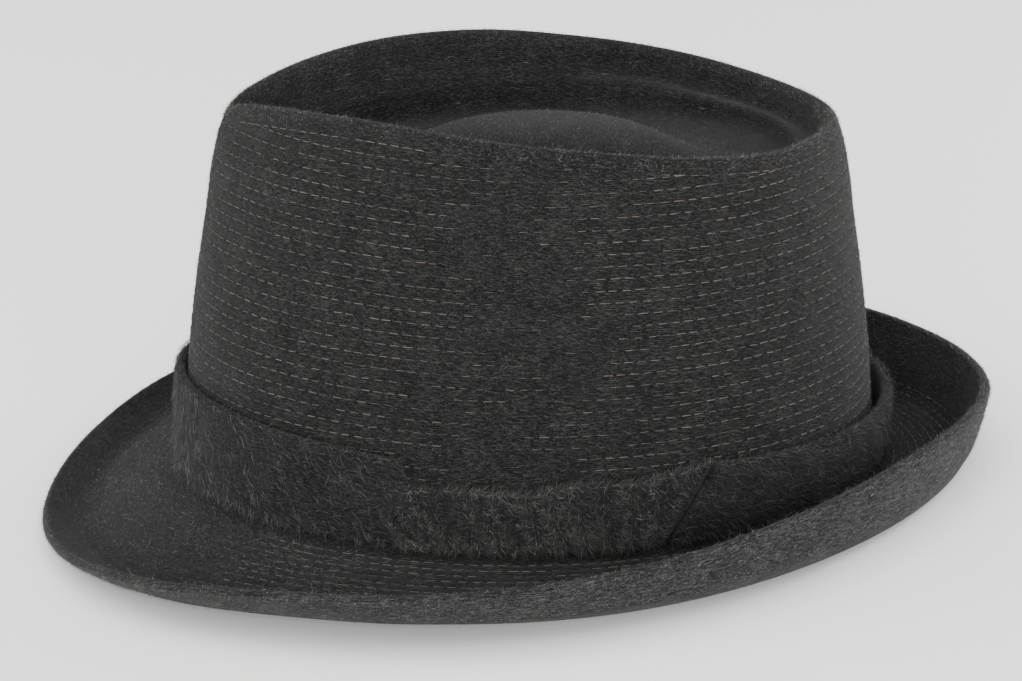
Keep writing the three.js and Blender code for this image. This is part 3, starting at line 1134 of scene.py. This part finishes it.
class Nap:
    """Fibres brushed along the felt, one joined mesh for each patch."""

    def __init__(self, face: FeltFace, place: RestingPlace) -> None:
        """Keeps the felt's face and the hat's resting place."""
        self.face = face
        self.place = place

    def _roots(self, patch: NapPatch, rng: np.random.Generator) -> Spots:
        """Where the patch's fibres leave the felt.

        Args:
            patch: where it grows.
            rng: the source of the places.

        Returns:
            The roots in head-line millimetres.
        """
        share = rng.uniform(0.0, 1.0, patch.count)
        if patch.region is Region.DOME:
            share = np.sqrt(share)
        share = patch.shares[0] + (patch.shares[1] - patch.shares[0]) * share
        spots = self.face.spots(patch.region, share, rng.uniform(*patch.angles, patch.count))
        thickness = self.face.form.felt_thickness
        if patch.side is NapSide.UNDER:
            return Spots(spots.point - spots.normal * thickness, -spots.normal, spots.round, spots.down)
        if patch.side is NapSide.EDGE:
            turn = rng.uniform(0.0, math.pi, patch.count)[:, None]
            out = spots.normal * np.cos(turn) + spots.down * np.sin(turn)
            middle = spots.point - spots.normal * (thickness / 2)
            bulge = spots.normal * np.cos(turn) + spots.down * EDGE_BULGE * np.sin(turn)
            return Spots(middle + bulge * thickness / 2, out, spots.round, np.cross(spots.round, out))
        return spots

    def build(self, patch: NapPatch, material: bpy.types.Material, slot: str,
              seed: int) -> bpy.types.Object:
        """Grows one patch of nap.

        Args:
            patch: where it grows and how.
            material: the fibres' finish.
            slot: not used.
            seed: sets where each fibre grows.

        Returns:
            The joined fibres.
        """
        rng = np.random.default_rng(seed)
        return grow(patch, self._roots(patch, rng), self.place, material, rng)


def plant(growth: Growth, pattern: Pattern, spots: Spots, place: RestingPlace, lean: np.ndarray,
          lift: np.ndarray, roll: np.ndarray | float, root_mm: float, material: bpy.types.Material,
          rng: np.random.Generator) -> bpy.types.Object:
    """Plants one fibre at each place, turned its own way.

    Args:
        growth: the fibres' name, count, length and width.
        pattern: the shape of one fibre.
        spots: the roots in head-line millimetres.
        place: how the hat lies.
        lean: how far each lie turns down from straight round the hat, in radians.
        lift: how far each fibre stands off the felt, in radians.
        roll: how far each fibre turns about itself, in radians.
        root_mm: how deep the roots sit.
        material: the fibres' finish.
        rng: the source of each fibre's length and tone.

    Returns:
        The joined fibres.
    """
    along = unit(spots.round * np.cos(lean) + spots.down * np.sin(lean))
    z_axis = unit(along * np.cos(lift) + spots.normal * np.sin(lift))
    level = unit(np.cross(spots.normal, along))
    x_axis = level * np.cos(roll) + np.cross(z_axis, level) * np.sin(roll)
    y_axis = np.cross(z_axis, x_axis)
    width = np.full(growth.count, growth.width_mm)
    sizes = np.stack([width, width, rng.uniform(*growth.length_mm, growth.count)], -1)
    axes = tuple(place.turn(axis) for axis in (x_axis, y_axis, z_axis))
    tones = rng.uniform(0.0, 1.0, growth.count) ** 2
    points = place.lay(spots.point - spots.normal * root_mm)
    mesh = repeat_pattern(growth.name, pattern, points, axes, sizes, tones)
    return finish_mesh(growth.name, mesh, material, smooth=False)


def grow(growth: Growth, spots: Spots, place: RestingPlace, material: bpy.types.Material,
         rng: np.random.Generator) -> bpy.types.Object:
    """Grows straight fibres out of places on the felt, in soft swirls.

    Args:
        growth: how the fibres grow.
        spots: the roots in head-line millimetres.
        place: how the hat lies.
        material: the fibres' finish.
        rng: the source of each fibre's own direction.

    Returns:
        The joined fibres.
    """
    swirl = 7.0 * np.sin(spots.point[:, 1] / 21.0 + spots.point[:, 2] / 17.0)
    scatter = rng.normal(0.0, growth.spread_degrees, growth.count)
    lean = np.radians(growth.lean_degrees + swirl + scatter)[:, None]
    lift_degrees = rng.normal(growth.lift_degrees, growth.lift_degrees * 0.6, growth.count)
    lift = np.radians(np.abs(lift_degrees))[:, None]
    return plant(growth, straight_fibre(), spots, place, lean, lift, 0.0, NAP_ROOT_MM, material, rng)


@dataclass(frozen=True)
class BandForm:
    """The felt band's sizes and how it stands against the crown."""

    height_mm: float = 23.0
    height_swing: float = 0.2
    thickness_mm: float = 3.0
    stand_off_mm: float = 0.6
    back_gap_mm: float = 2.6
    clearance_mm: float = 0.4
    tab_height_mm: float = 17.0
    tab_thickness_mm: float = 3.4
    front_end: float = 73.0
    rear_end: float = 110.0
    end_slant: float = 8.0
    tab_gap: float = 1.2


# The crown side's lower half, as HatForm shapes it: share of its height, share of its way in
WALL_SHARES = np.array([-0.2, CROWN_FOOT, 0.20, 0.36, 0.54])
WALL_INWARD = np.array([0.0, 0.0, 0.09, 0.19, 0.34])


class Strip:
    """A felt strip round the foot of the crown, such as the band or the tab."""

    def __init__(self, form: HatForm, band: BandForm, place: RestingPlace) -> None:
        """Keeps the sizes that the strip follows.

        Args:
            form: the hood's sizes.
            band: the strips' sizes.
            place: how the hat lies.
        """
        self.form = form
        self.band = band
        self.place = place

    def stand_off(self, angles: np.ndarray) -> np.ndarray:
        """How far the strip stands off the crown: snug in front, slack behind."""
        behind = 0.5 - 0.5 * np.cos(np.radians(angles))
        return self.band.stand_off_mm + self.band.back_gap_mm * behind ** 3

    def foot(self, angles: np.ndarray) -> np.ndarray:
        """The height of the strip's foot, clear of the brim as it rises.

        Args:
            angles: degrees round the hat.

        Returns:
            Millimetres above the head line.
        """
        head, crease = self.form.head(angles), self.form.lip(angles, 1.0)
        run = np.linalg.norm((crease - head)[..., :2], axis=-1)
        reach = (self.stand_off(angles) + self.band.tab_thickness_mm + self.band.clearance_mm) / run
        curve = self.form.crown_height * CROWN_FOOT
        return curve + self.band.clearance_mm + np.maximum(0.0, crease[..., 2] * reach)

    def wall_at(self, angles: np.ndarray, heights: np.ndarray) -> np.ndarray:
        """The crown's wall at heights given in millimetres.

        Args:
            angles: degrees round the hat.
            heights: millimetres above the head line.

        Returns:
            One point for each angle.
        """
        head, rim = self.form.head(angles), self.form.rim(angles)
        inward = np.interp(heights / rim[..., 2], WALL_SHARES, WALL_INWARD)[..., None]
        points = head + (rim - head) * inward
        points[..., 2] = heights
        return points

    def outward(self, angles: np.ndarray) -> np.ndarray:
        """The level direction straight out from the crown.

        Args:
            angles: degrees round the hat.

        Returns:
            One direction for each angle.
        """
        head = self.form.head(angles)
        head[..., 0] /= self.form.head_half_width ** 2
        head[..., 1] /= self.form.head_half_length ** 2
        return unit(head)

    def spots(self, angles: np.ndarray, shares: np.ndarray, heights: np.ndarray,
              depth: np.ndarray) -> Spots:
        """Places on the strip, at a share of its height and a depth out from the crown.

        Args:
            angles: degrees round the hat.
            shares: shares of the strip's height.
            heights: the strip's height in millimetres.
            depth: millimetres out from the strip's back.

        Returns:
            The places with their directions.
        """
        foot = self.foot(angles)
        wall = self.wall_at(angles, foot + heights * shares)
        outward = self.outward(angles)
        lean = self.stand_off(angles) * (0.35 + 0.65 * shares)
        point = wall + outward * (lean + depth)[..., None]
        around = unit(np.cross(np.array([0.0, 0.0, 1.0]), outward))
        return Spots(point, outward, around, np.cross(around, outward))

    def grow_edge(self, growth: Growth, base: np.ndarray, depth: np.ndarray, share: float,
                  outward: float, fibres: bpy.types.Material, slot: str,
                  rng: np.random.Generator) -> None:
        """Grows short hair out of the strip's top edge.

        Args:
            growth: how the hair grows.
            base: degrees round the hat of each root.
            depth: millimetres of each root out from the strip's back.
            share: the share of the strip's height at which the roots sit.
            outward: how far the hair turns out, against straight up.
            fibres: the hair's finish.
            slot: not used.
            rng: the source of each hair's own direction.
        """
        spots = self.spots(base + self.slant(base), np.full(growth.count, share),
                           self.heights(base), depth)
        spots.normal = unit(spots.normal * outward - spots.down)
        spots.down = np.cross(spots.round, spots.normal)
        grow(growth, spots, self.place, fibres, rng)

    def mesh(self, name: str, angles: np.ndarray, slant: np.ndarray, heights: np.ndarray,
             thickness: float, ripple_mm: float, seed: int) -> bpy.types.Mesh:
        """Builds the strip as a rounded section carried round the crown.

        Args:
            name: the mesh's name.
            angles: degrees at which a section stands.
            slant: how far each section's top runs ahead of its foot, in degrees.
            heights: the strip's height at each section.
            thickness: the strip's thickness in millimetres.
            ripple_mm: how unevenly its face and edges lie.
            seed: sets the ripples.

        Returns:
            The closed mesh.
        """
        section = np.array([
            (0.0, 0.10), (0.0, 0.3), (0.0, 0.5), (0.0, 0.7), (0.0, 0.90), (0.18, 0.97), (0.5, 1.0),
            (0.82, 0.97), (1.0, 0.90), (1.02, 0.8), (1.03, 0.65), (1.03, 0.5), (1.03, 0.35), (1.02, 0.2),
            (1.0, 0.10), (0.82, 0.03), (0.5, 0.0), (0.18, 0.03), (0.0, 0.10)])
        rng = np.random.default_rng(seed)
        phases = rng.uniform(0.0, 2 * math.pi, (4, 2))
        turned = angles[:, None] + slant[:, None] * section[None, :, 1]
        waves = sum(np.sin(np.radians(turned) * k + phases[i, 0] + 3.0 * section[None, :, 1] * (i + 1) / 2)
                    for i, k in enumerate((9, 17, 31, 47))) / 4
        high = np.broadcast_to(heights[:, None], turned.shape)
        out = section[None, :, 0] * thickness + ripple_mm * waves * (section[None, :, 0] > 0.1)
        share = np.broadcast_to(section[None, :, 1], turned.shape) + 0.02 * ripple_mm * waves
        spots = self.spots(turned, share, high, out)
        girth = np.radians(turned) * MEAN_RADIUS_MM
        walked = np.concatenate([[0.0], np.cumsum(np.linalg.norm(
            np.diff(section * (thickness, heights.mean()), axis=0), axis=1))])
        uv = np.stack(np.broadcast_arrays(girth, walked[None, :]), -1)
        return sheet_mesh(name, self.place.lay(spots.point), uv, ends=True)


class Band(Strip):
    """The self-felt band, open on the wearer's left, its rear end cut on a slant."""

    def heights(self, angles: np.ndarray) -> np.ndarray:
        """The band's height round the hat: taller in front."""
        return self.band.height_mm * (1 + self.band.height_swing * np.cos(np.radians(angles)))

    def slant(self, angles: np.ndarray) -> np.ndarray:
        """How the band's sections lean near its two ends.

        Args:
            angles: degrees round the hat.

        Returns:
            Degrees that each top runs ahead of its foot.
        """
        span = 360.0 - self.band.rear_end + self.band.front_end
        near_rear = np.maximum(0.0, 1 - (angles - self.band.rear_end) / 30)
        near_front = np.maximum(0.0, 1 - (self.band.rear_end + span - angles) / 30)
        return self.band.end_slant * (near_rear - 0.6 * near_front)

    def build(self, felt: NapFelt, fibres: bpy.types.Material) -> None:
        """Builds the band and its nap.

        Args:
            felt: the band's own finish.
            fibres: the finish of its nap.
        """
        end = 360.0 + self.band.front_end
        thickness = self.band.thickness_mm
        angles = np.linspace(self.band.rear_end, end, 260)
        mesh = self.mesh("band_felt_strip", angles, self.slant(angles), self.heights(angles),
                         thickness, 0.35, BAND_RIPPLE_SEED)
        piece = finish_mesh("band_felt_strip", mesh, felt.make())
        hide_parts("hat_band")
        rng = np.random.default_rng(BAND_NAP_SEED)
        for growth, low, high, out in ((BAND_NAP, 0.02, 1.0, 1.02), (BAND_FOOT_NAP, 0.0, 0.07, 0.98)):
            base = rng.uniform(self.band.rear_end, end, growth.count)
            share = rng.uniform(low, high, growth.count)
            depth = np.full(growth.count, thickness * out)
            spots = self.spots(base + self.slant(base) * share, share, self.heights(base), depth)
            grow(growth, spots, self.place, fibres, rng)
        base = rng.uniform(self.band.rear_end, end, BAND_EDGE_NAP.count)
        depth = rng.uniform(0.2, thickness, BAND_EDGE_NAP.count)
        self.grow_edge(BAND_EDGE_NAP, base, depth, 0.985, 0.5, fibres, "band_felt", rng)


class Tab(Strip):
    """The lower, curly-haired felt between the band's ends."""

    def start(self) -> float:
        """Where the tab begins, just behind the band's front end."""
        return self.band.front_end + self.band.tab_gap - 1.0

    def end(self) -> float:
        """Where the tab ends, close to the slit at the band's rear end."""
        return self.band.rear_end - 0.6 * self.band.tab_gap

    def slant(self, angles: np.ndarray) -> np.ndarray:
        """How the tab leans at its ends, in line with the band's own cut ends.

        Args:
            angles: degrees round the hat.

        Returns:
            Degrees that each top runs ahead of its foot.
        """
        near_rear = np.clip(1 - (self.end() - angles) / 14, 0.0, 1.0)
        near_front = np.clip(1 - (angles - self.start()) / 14, 0.0, 1.0)
        return self.band.end_slant * (near_rear - 0.6 * near_front)

    def heights(self, angles: np.ndarray) -> np.ndarray:
        """The tab's height: a little uneven, and as high as the band at its rear end.

        Args:
            angles: degrees round the hat.

        Returns:
            Millimetres at each angle.
        """
        share = (angles - self.start()) / (self.end() - self.start())
        rise = 4.5 * np.clip((share - 0.55) / 0.45, 0.0, 1.0) ** 1.5
        return rise + self.band.tab_height_mm * (
            1 - 0.05 * np.sin(7 * share) - 0.04 * np.sin(17 * share + 1))

    def build(self, felt: NapFelt, fibres: bpy.types.Material) -> None:
        """Builds the tab, its lying hair and its curls.

        Args:
            felt: the tab's own finish.
            fibres: the finish of its hair.
        """
        angles = np.linspace(self.start(), self.end(), 60)
        thickness = self.band.tab_thickness_mm - 0.6
        mesh = self.mesh("tab_felt_strip", angles, self.slant(angles), self.heights(angles),
                         thickness, 0.5, TAB_RIPPLE_SEED)
        piece = finish_mesh("tab_felt_strip", mesh, felt.make())
        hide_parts("band_tab")
        rng = np.random.default_rng(TAB_HAIR_SEED)
        self._hair(TAB_HAIR, straight_fibre(), 0.0, fibres, rng)
        base = rng.uniform(self.start(), self.end(), TAB_EDGE_NAP.count)
        depth = rng.uniform(0.0, thickness, TAB_EDGE_NAP.count)
        self.grow_edge(TAB_EDGE_NAP, base, depth, 0.97, 0.3, fibres, "tab_felt", rng)
        self._hair(TAB_CURLS, curled_fibre(120.0), 1.1, fibres, rng)

    def _hair(self, growth: Growth, pattern: Pattern, roll_spread: float, fibres: bpy.types.Material,
              rng: np.random.Generator) -> None:
        """Grows matted hair over the tab in clumps, thickest along its foot.

        Args:
            growth: how the hair grows.
            pattern: the shape of one hair.
            roll_spread: how widely the curls turn over, in radians.
            fibres: the hairs' finish.
            rng: the source of each hair's own direction.
        """
        count, lift_degrees = growth.count, growth.lift_degrees
        angle = rng.uniform(self.start() - 5.0, self.end() - 1.4, count)
        share = np.where(rng.uniform(size=count) < 0.6, rng.uniform(0.0, 1.02, count),
                         rng.uniform(0.0, 0.3, count))
        depth = np.full(count, self.band.tab_thickness_mm - 0.5)
        spots = self.spots(angle + self.slant(angle) * share, share, self.heights(angle), depth)
        clump = 50.0 * np.sin(angle * 1.9 + 5.0 * share) + 32.0 * np.sin(angle * 4.3 - 7.0 * share + 1.0)
        scatter = rng.normal(0.0, growth.spread_degrees, count)
        lean = np.radians(growth.lean_degrees + clump + scatter)[:, None]
        lift = np.radians(np.abs(rng.normal(lift_degrees, 0.5 * lift_degrees, count)))[:, None]
        roll = rng.normal(0.0, roll_spread, count)[:, None]
        plant(growth, pattern, spots, self.place, lean, lift, roll, HAIR_ROOT_MM, fibres, rng)


@dataclass(frozen=True)
class PhotoCamera:
    """The photograph's camera, seen from the hat's own head line."""

    azimuth: float = 88.4
    elevation: float = 18.8
    distance_mm: float = 1000.0
    focal_px: float = 3351.5
    right_mm: float = -5.1
    up_mm: float = 31.6
    roll_degrees: float = -0.2
    picture_px: float = 1022.0
    sensor_mm: float = 36.0
    reach_m: float = 50.0

    def build(self, place: RestingPlace) -> bpy.types.Object:
        """Sets the camera up for the hat as it lies.

        Args:
            place: how the hat lies.

        Returns:
            The camera.
        """
        a, e, roll = (math.radians(v) for v in (self.azimuth, self.elevation, self.roll_degrees))
        back = np.array([math.sin(a) * math.cos(e), -math.cos(a) * math.cos(e), math.sin(e)])
        right = np.array([math.cos(a), math.sin(a), 0.0])
        up = np.cross(back, right)
        spot = self.distance_mm * back + self.right_mm * right + self.up_mm * up
        axes = (math.cos(roll) * right + math.sin(roll) * up,
                -math.sin(roll) * right + math.cos(roll) * up, back)
        columns = [place.turn(axis) for axis in axes]
        data = bpy.data.cameras.new("photo_camera")
        data.sensor_fit = "HORIZONTAL"
        data.sensor_width = self.sensor_mm
        data.lens = self.sensor_mm * self.focal_px / self.picture_px
        data.clip_end = self.reach_m
        camera = bpy.data.objects.new("photo_camera", data)
        turned = Matrix([[float(column[k]) for column in columns] for k in range(3)])
        camera.matrix_world = Matrix.Translation(Vector(place.lay(spot))) @ turned.to_4x4()
        bpy.context.scene.collection.objects.link(camera)
        bpy.context.scene.camera = camera
        return camera


@dataclass(frozen=True)
class SoftBox:
    """One studio light: where it stands, what it points at, its size and power."""

    name: str
    place_m: tuple[float, float, float]
    aim_m: tuple[float, float, float]
    size_m: tuple[float, float]
    watts: float

    def build(self) -> None:
        """Hangs the light in the studio."""
        data = bpy.data.lights.new(self.name, "AREA")
        data.shape = "RECTANGLE"
        data.size, data.size_y = self.size_m
        data.energy = self.watts
        lamp = bpy.data.objects.new(self.name, data)
        lamp.location = self.place_m
        direction = Vector(self.aim_m) - Vector(self.place_m)
        lamp.rotation_euler = direction.to_track_quat("-Z", "Y").to_euler()
        bpy.context.scene.collection.objects.link(lamp)


class Studio:
    """The pale floor, the soft lights and the white surroundings."""

    FLOOR_HALF_M = 6.0
    FLOOR_COLOUR = "#f7f7f6"
    AROUND_COLOUR = "#fdfdfd"
    AROUND_STRENGTH = 1.3
    LIGHTS = (
        SoftBox("top_box", (0.1, 0.0, 1.6), (0.0, 0.0, 0.05), (2.0, 2.2), 15.0),
        SoftBox("front_edge_box", (-0.45, -1.15, 0.55), (0.0, 0.0, 0.06), (0.5, 1.1), 8.0),
        SoftBox("rear_edge_box", (-0.45, 1.15, 0.55), (0.0, 0.0, 0.06), (0.5, 1.1), 8.0),
        SoftBox("camera_fill", (1.9, 0.1, 0.50), (0.0, 0.0, 0.03), (1.4, 0.8), 51.0),
    )

    def build(self) -> None:
        """Lays the floor, hangs the lights and sets the surroundings."""
        shell = bmesh.new()
        bmesh.ops.create_grid(shell, x_segments=8, y_segments=8, size=self.FLOOR_HALF_M)
        mesh = bpy.data.meshes.new("pale_floor")
        shell.to_mesh(mesh)
        shell.free()
        material, tree = new_material("matt_white_paper_floor")
        shader = add_node(tree, "ShaderNodeBsdfPrincipled", inputs={
            "Base Color": linear_colour(self.FLOOR_COLOUR), "Roughness": 0.8,
            "Specular IOR Level": 0.2})
        add_node(tree, "ShaderNodeOutputMaterial", inputs={"Surface": shader.outputs["BSDF"]})
        mesh.materials.append(material)
        floor = bpy.data.objects.new("pale_floor", mesh)
        bpy.context.scene.collection.objects.link(floor)
        for light in self.LIGHTS:
            light.build()
        world = bpy.data.worlds.new("studio_white")
        world.use_nodes = True
        world.node_tree.nodes.clear()
        sky = add_node(world.node_tree, "ShaderNodeBackground", inputs={
            "Color": linear_colour(self.AROUND_COLOUR), "Strength": self.AROUND_STRENGTH})
        add_node(world.node_tree, "ShaderNodeOutputWorld", inputs={"Surface": sky.outputs["Background"]})
        bpy.context.scene.world = world


# Wool felt, blocked to shape and brushed level: near black in its depth, with fine grey
# streaks along the lie of the nap, and no gloss
HOOD_FELT = NapFelt("charcoal_long_nap_felt", "#050505", "#141414", "#323231", lean_degrees=3.0)
# The same felt cut as a strip and brushed down and back, so its streaks run on a slant
BAND_FELT = NapFelt("charcoal_brushed_band_felt", "#050505", "#151515", "#303030", lean_degrees=38.0)
# Felt with its hair left curly: the darkest of the three, seen between its locks
TAB_FELT = NapFelt("charcoal_curly_tab_felt", "#050505", "#141414", "#2d2d2c", lean_degrees=60.0)
# Single wool fibres. Most are as dark as the felt; a few catch the light as fine grey lines
HOOD_FIBRES = LooseFibre("grey_wool_nap_fibres", (
    (0.0, "#0e0e0e"), (0.5, "#242423"), (1.0, "#605f5d")))
# Short upright fibres in tones paler than the felt, which make the lip and the rim look paler and softer:
# the paler tones are painted light, standing for the floor bounce and backlight that they catch
PAINTED_LIGHT_FIBRES = LooseFibre("paler_lip_fibres_painted_light", (
    (0.0, "#1c1c1b"), (0.5, "#3a3a39"), (1.0, "#84827f")))
# Longer hair combed over the band, which blurs its edges
BAND_FIBRES = LooseFibre("dark_wool_band_fibres", (
    (0.0, "#111110"), (0.5, "#272726"), (1.0, "#6a6866")))
# Matted hair and locks, with lighter tips on the curls
TAB_FIBRES = LooseFibre("dark_wool_curls", (
    (0.0, "#111110"), (0.5, "#2b2b2a"), (1.0, "#716f6d")))
# Cotton thread, a little paler than the felt, with brown lengths among the grey
THREAD = LooseFibre("pale_cotton_stitch_thread", (
    (0.0, "#3a3735"), (0.35, "#4d4743"), (0.6, "#5b5653"), (0.8, "#584f48"), (1.0, "#46403b")),
    roughness=0.85, sheen=0.05)

BAND_NAP = Growth("band_nap", 23000, (2.2, 5.2), 38.0, 11.0, 0.095, 30.0)
BAND_FOOT_NAP = Growth("band_foot_nap", 5000, (1.6, 3.2), 75.0, 22.0, 0.09, 30.0)
BAND_EDGE_NAP = Growth("band_edge_nap", 5000, (1.2, 3.0), 25.0, 30.0, 0.085, 60.0)
TAB_HAIR = Growth("tab_hair", 17000, (1.6, 3.6), 58.0, 20.0, 0.11, 22.0)
TAB_EDGE_NAP = Growth("tab_edge_nap", 3200, (1.4, 3.4), -25.0, 34.0, 0.10, 50.0)
TAB_CURLS = Growth("tab_curls", 2200, (2.6, 5.0), 58.0, 34.0, 0.13, 22.0)

NAP_PATCHES = (
    NapPatch("crown_nap_left", 27000, (1.4, 3.6), 4.0, angles=(0.0, 180.0)),
    NapPatch("crown_nap_right", 13500, (1.4, 3.6), 4.0, width_mm=0.10, angles=(180.0, 360.0)),
    NapPatch("brim_nap", 13500, (1.3, 3.2), 8.0, region=Region.BRIM),
    NapPatch("lip_nap", 8000, (1.2, 2.6), 30.0, 14.0, spread_degrees=40.0, region=Region.LIP),
    NapPatch("dent_nap", 8000, (1.4, 3.0), 8.0, region=Region.DENT),
    NapPatch("dome_nap", 9000, (1.2, 2.6), 20.0, spread_degrees=40.0, region=Region.DOME),
)
# Patches of standing fibres in the paler tones: painted light on the lip, the rim, the dome and the front
# of the brim.
PAINTED_LIGHT_PATCHES = (
    NapPatch("lip_edge_nap", 8000, (0.8, 1.8), 60.0, 30.0, spread_degrees=60.0, region=Region.LIP,
             shares=(1.0, 1.0), side=NapSide.EDGE),
    NapPatch("lip_outer_nap", 17000, (0.8, 1.8), 75.0, 24.0, spread_degrees=40.0, region=Region.LIP,
             side=NapSide.UNDER),
    NapPatch("rim_outer_nap", 5000, (0.8, 1.8), 0.0, 35.0, spread_degrees=90.0, region=Region.DENT,
             shares=(0.86, 0.97)),
    NapPatch("rim_inner_nap", 6000, (0.7, 1.6), 0.0, 40.0, spread_degrees=90.0, region=Region.DENT,
             shares=(0.76, 0.89)),
    NapPatch("dome_standing_nap", 4500, (0.7, 1.6), 0.0, 32.0, 0.095, 180.0, region=Region.DOME),
    NapPatch("brim_standing_nap", 6000, (0.7, 1.6), 0.0, 32.0, 0.095, 180.0, region=Region.BRIM,
             angles=(-65.0, 65.0)),
)


def main() -> None:
    """Builds the hat's pieces, the studio and the camera, in order."""
    logging.basicConfig(level=logging.INFO, format="%(name)s %(message)s")
    place = RestingPlace()
    form = HatForm()
    face = FeltFace(form)
    Hood(face, place).build(HOOD_FELT)
    thread = THREAD.make()
    stitcher = Stitcher(face, place)
    for number, rows in enumerate(STITCHING):
        stitcher.build(rows, f"{rows.region.value}_stitches", "hood_felt", thread,
                       STITCH_SEED + number)
    nap = Nap(face, place)
    fibres = HOOD_FIBRES.make()
    for number, patch in enumerate(NAP_PATCHES):
        nap.build(patch, fibres, "hood_felt", NAP_SEED + number)
    # The standing fibres get the paler tones: painted light.
    pale = PAINTED_LIGHT_FIBRES.make()
    for number, patch in enumerate(PAINTED_LIGHT_PATCHES):
        nap.build(patch, pale, "hood_felt", PAINTED_LIGHT_NAP_SEED + number)
    Band(form, BandForm(), place).build(BAND_FELT, BAND_FIBRES.make())
    Tab(form, BandForm(), place).build(TAB_FELT, TAB_FIBRES.make())
    Studio().build()
    PhotoCamera().build(place)


if __name__ == "__main__":
    main()
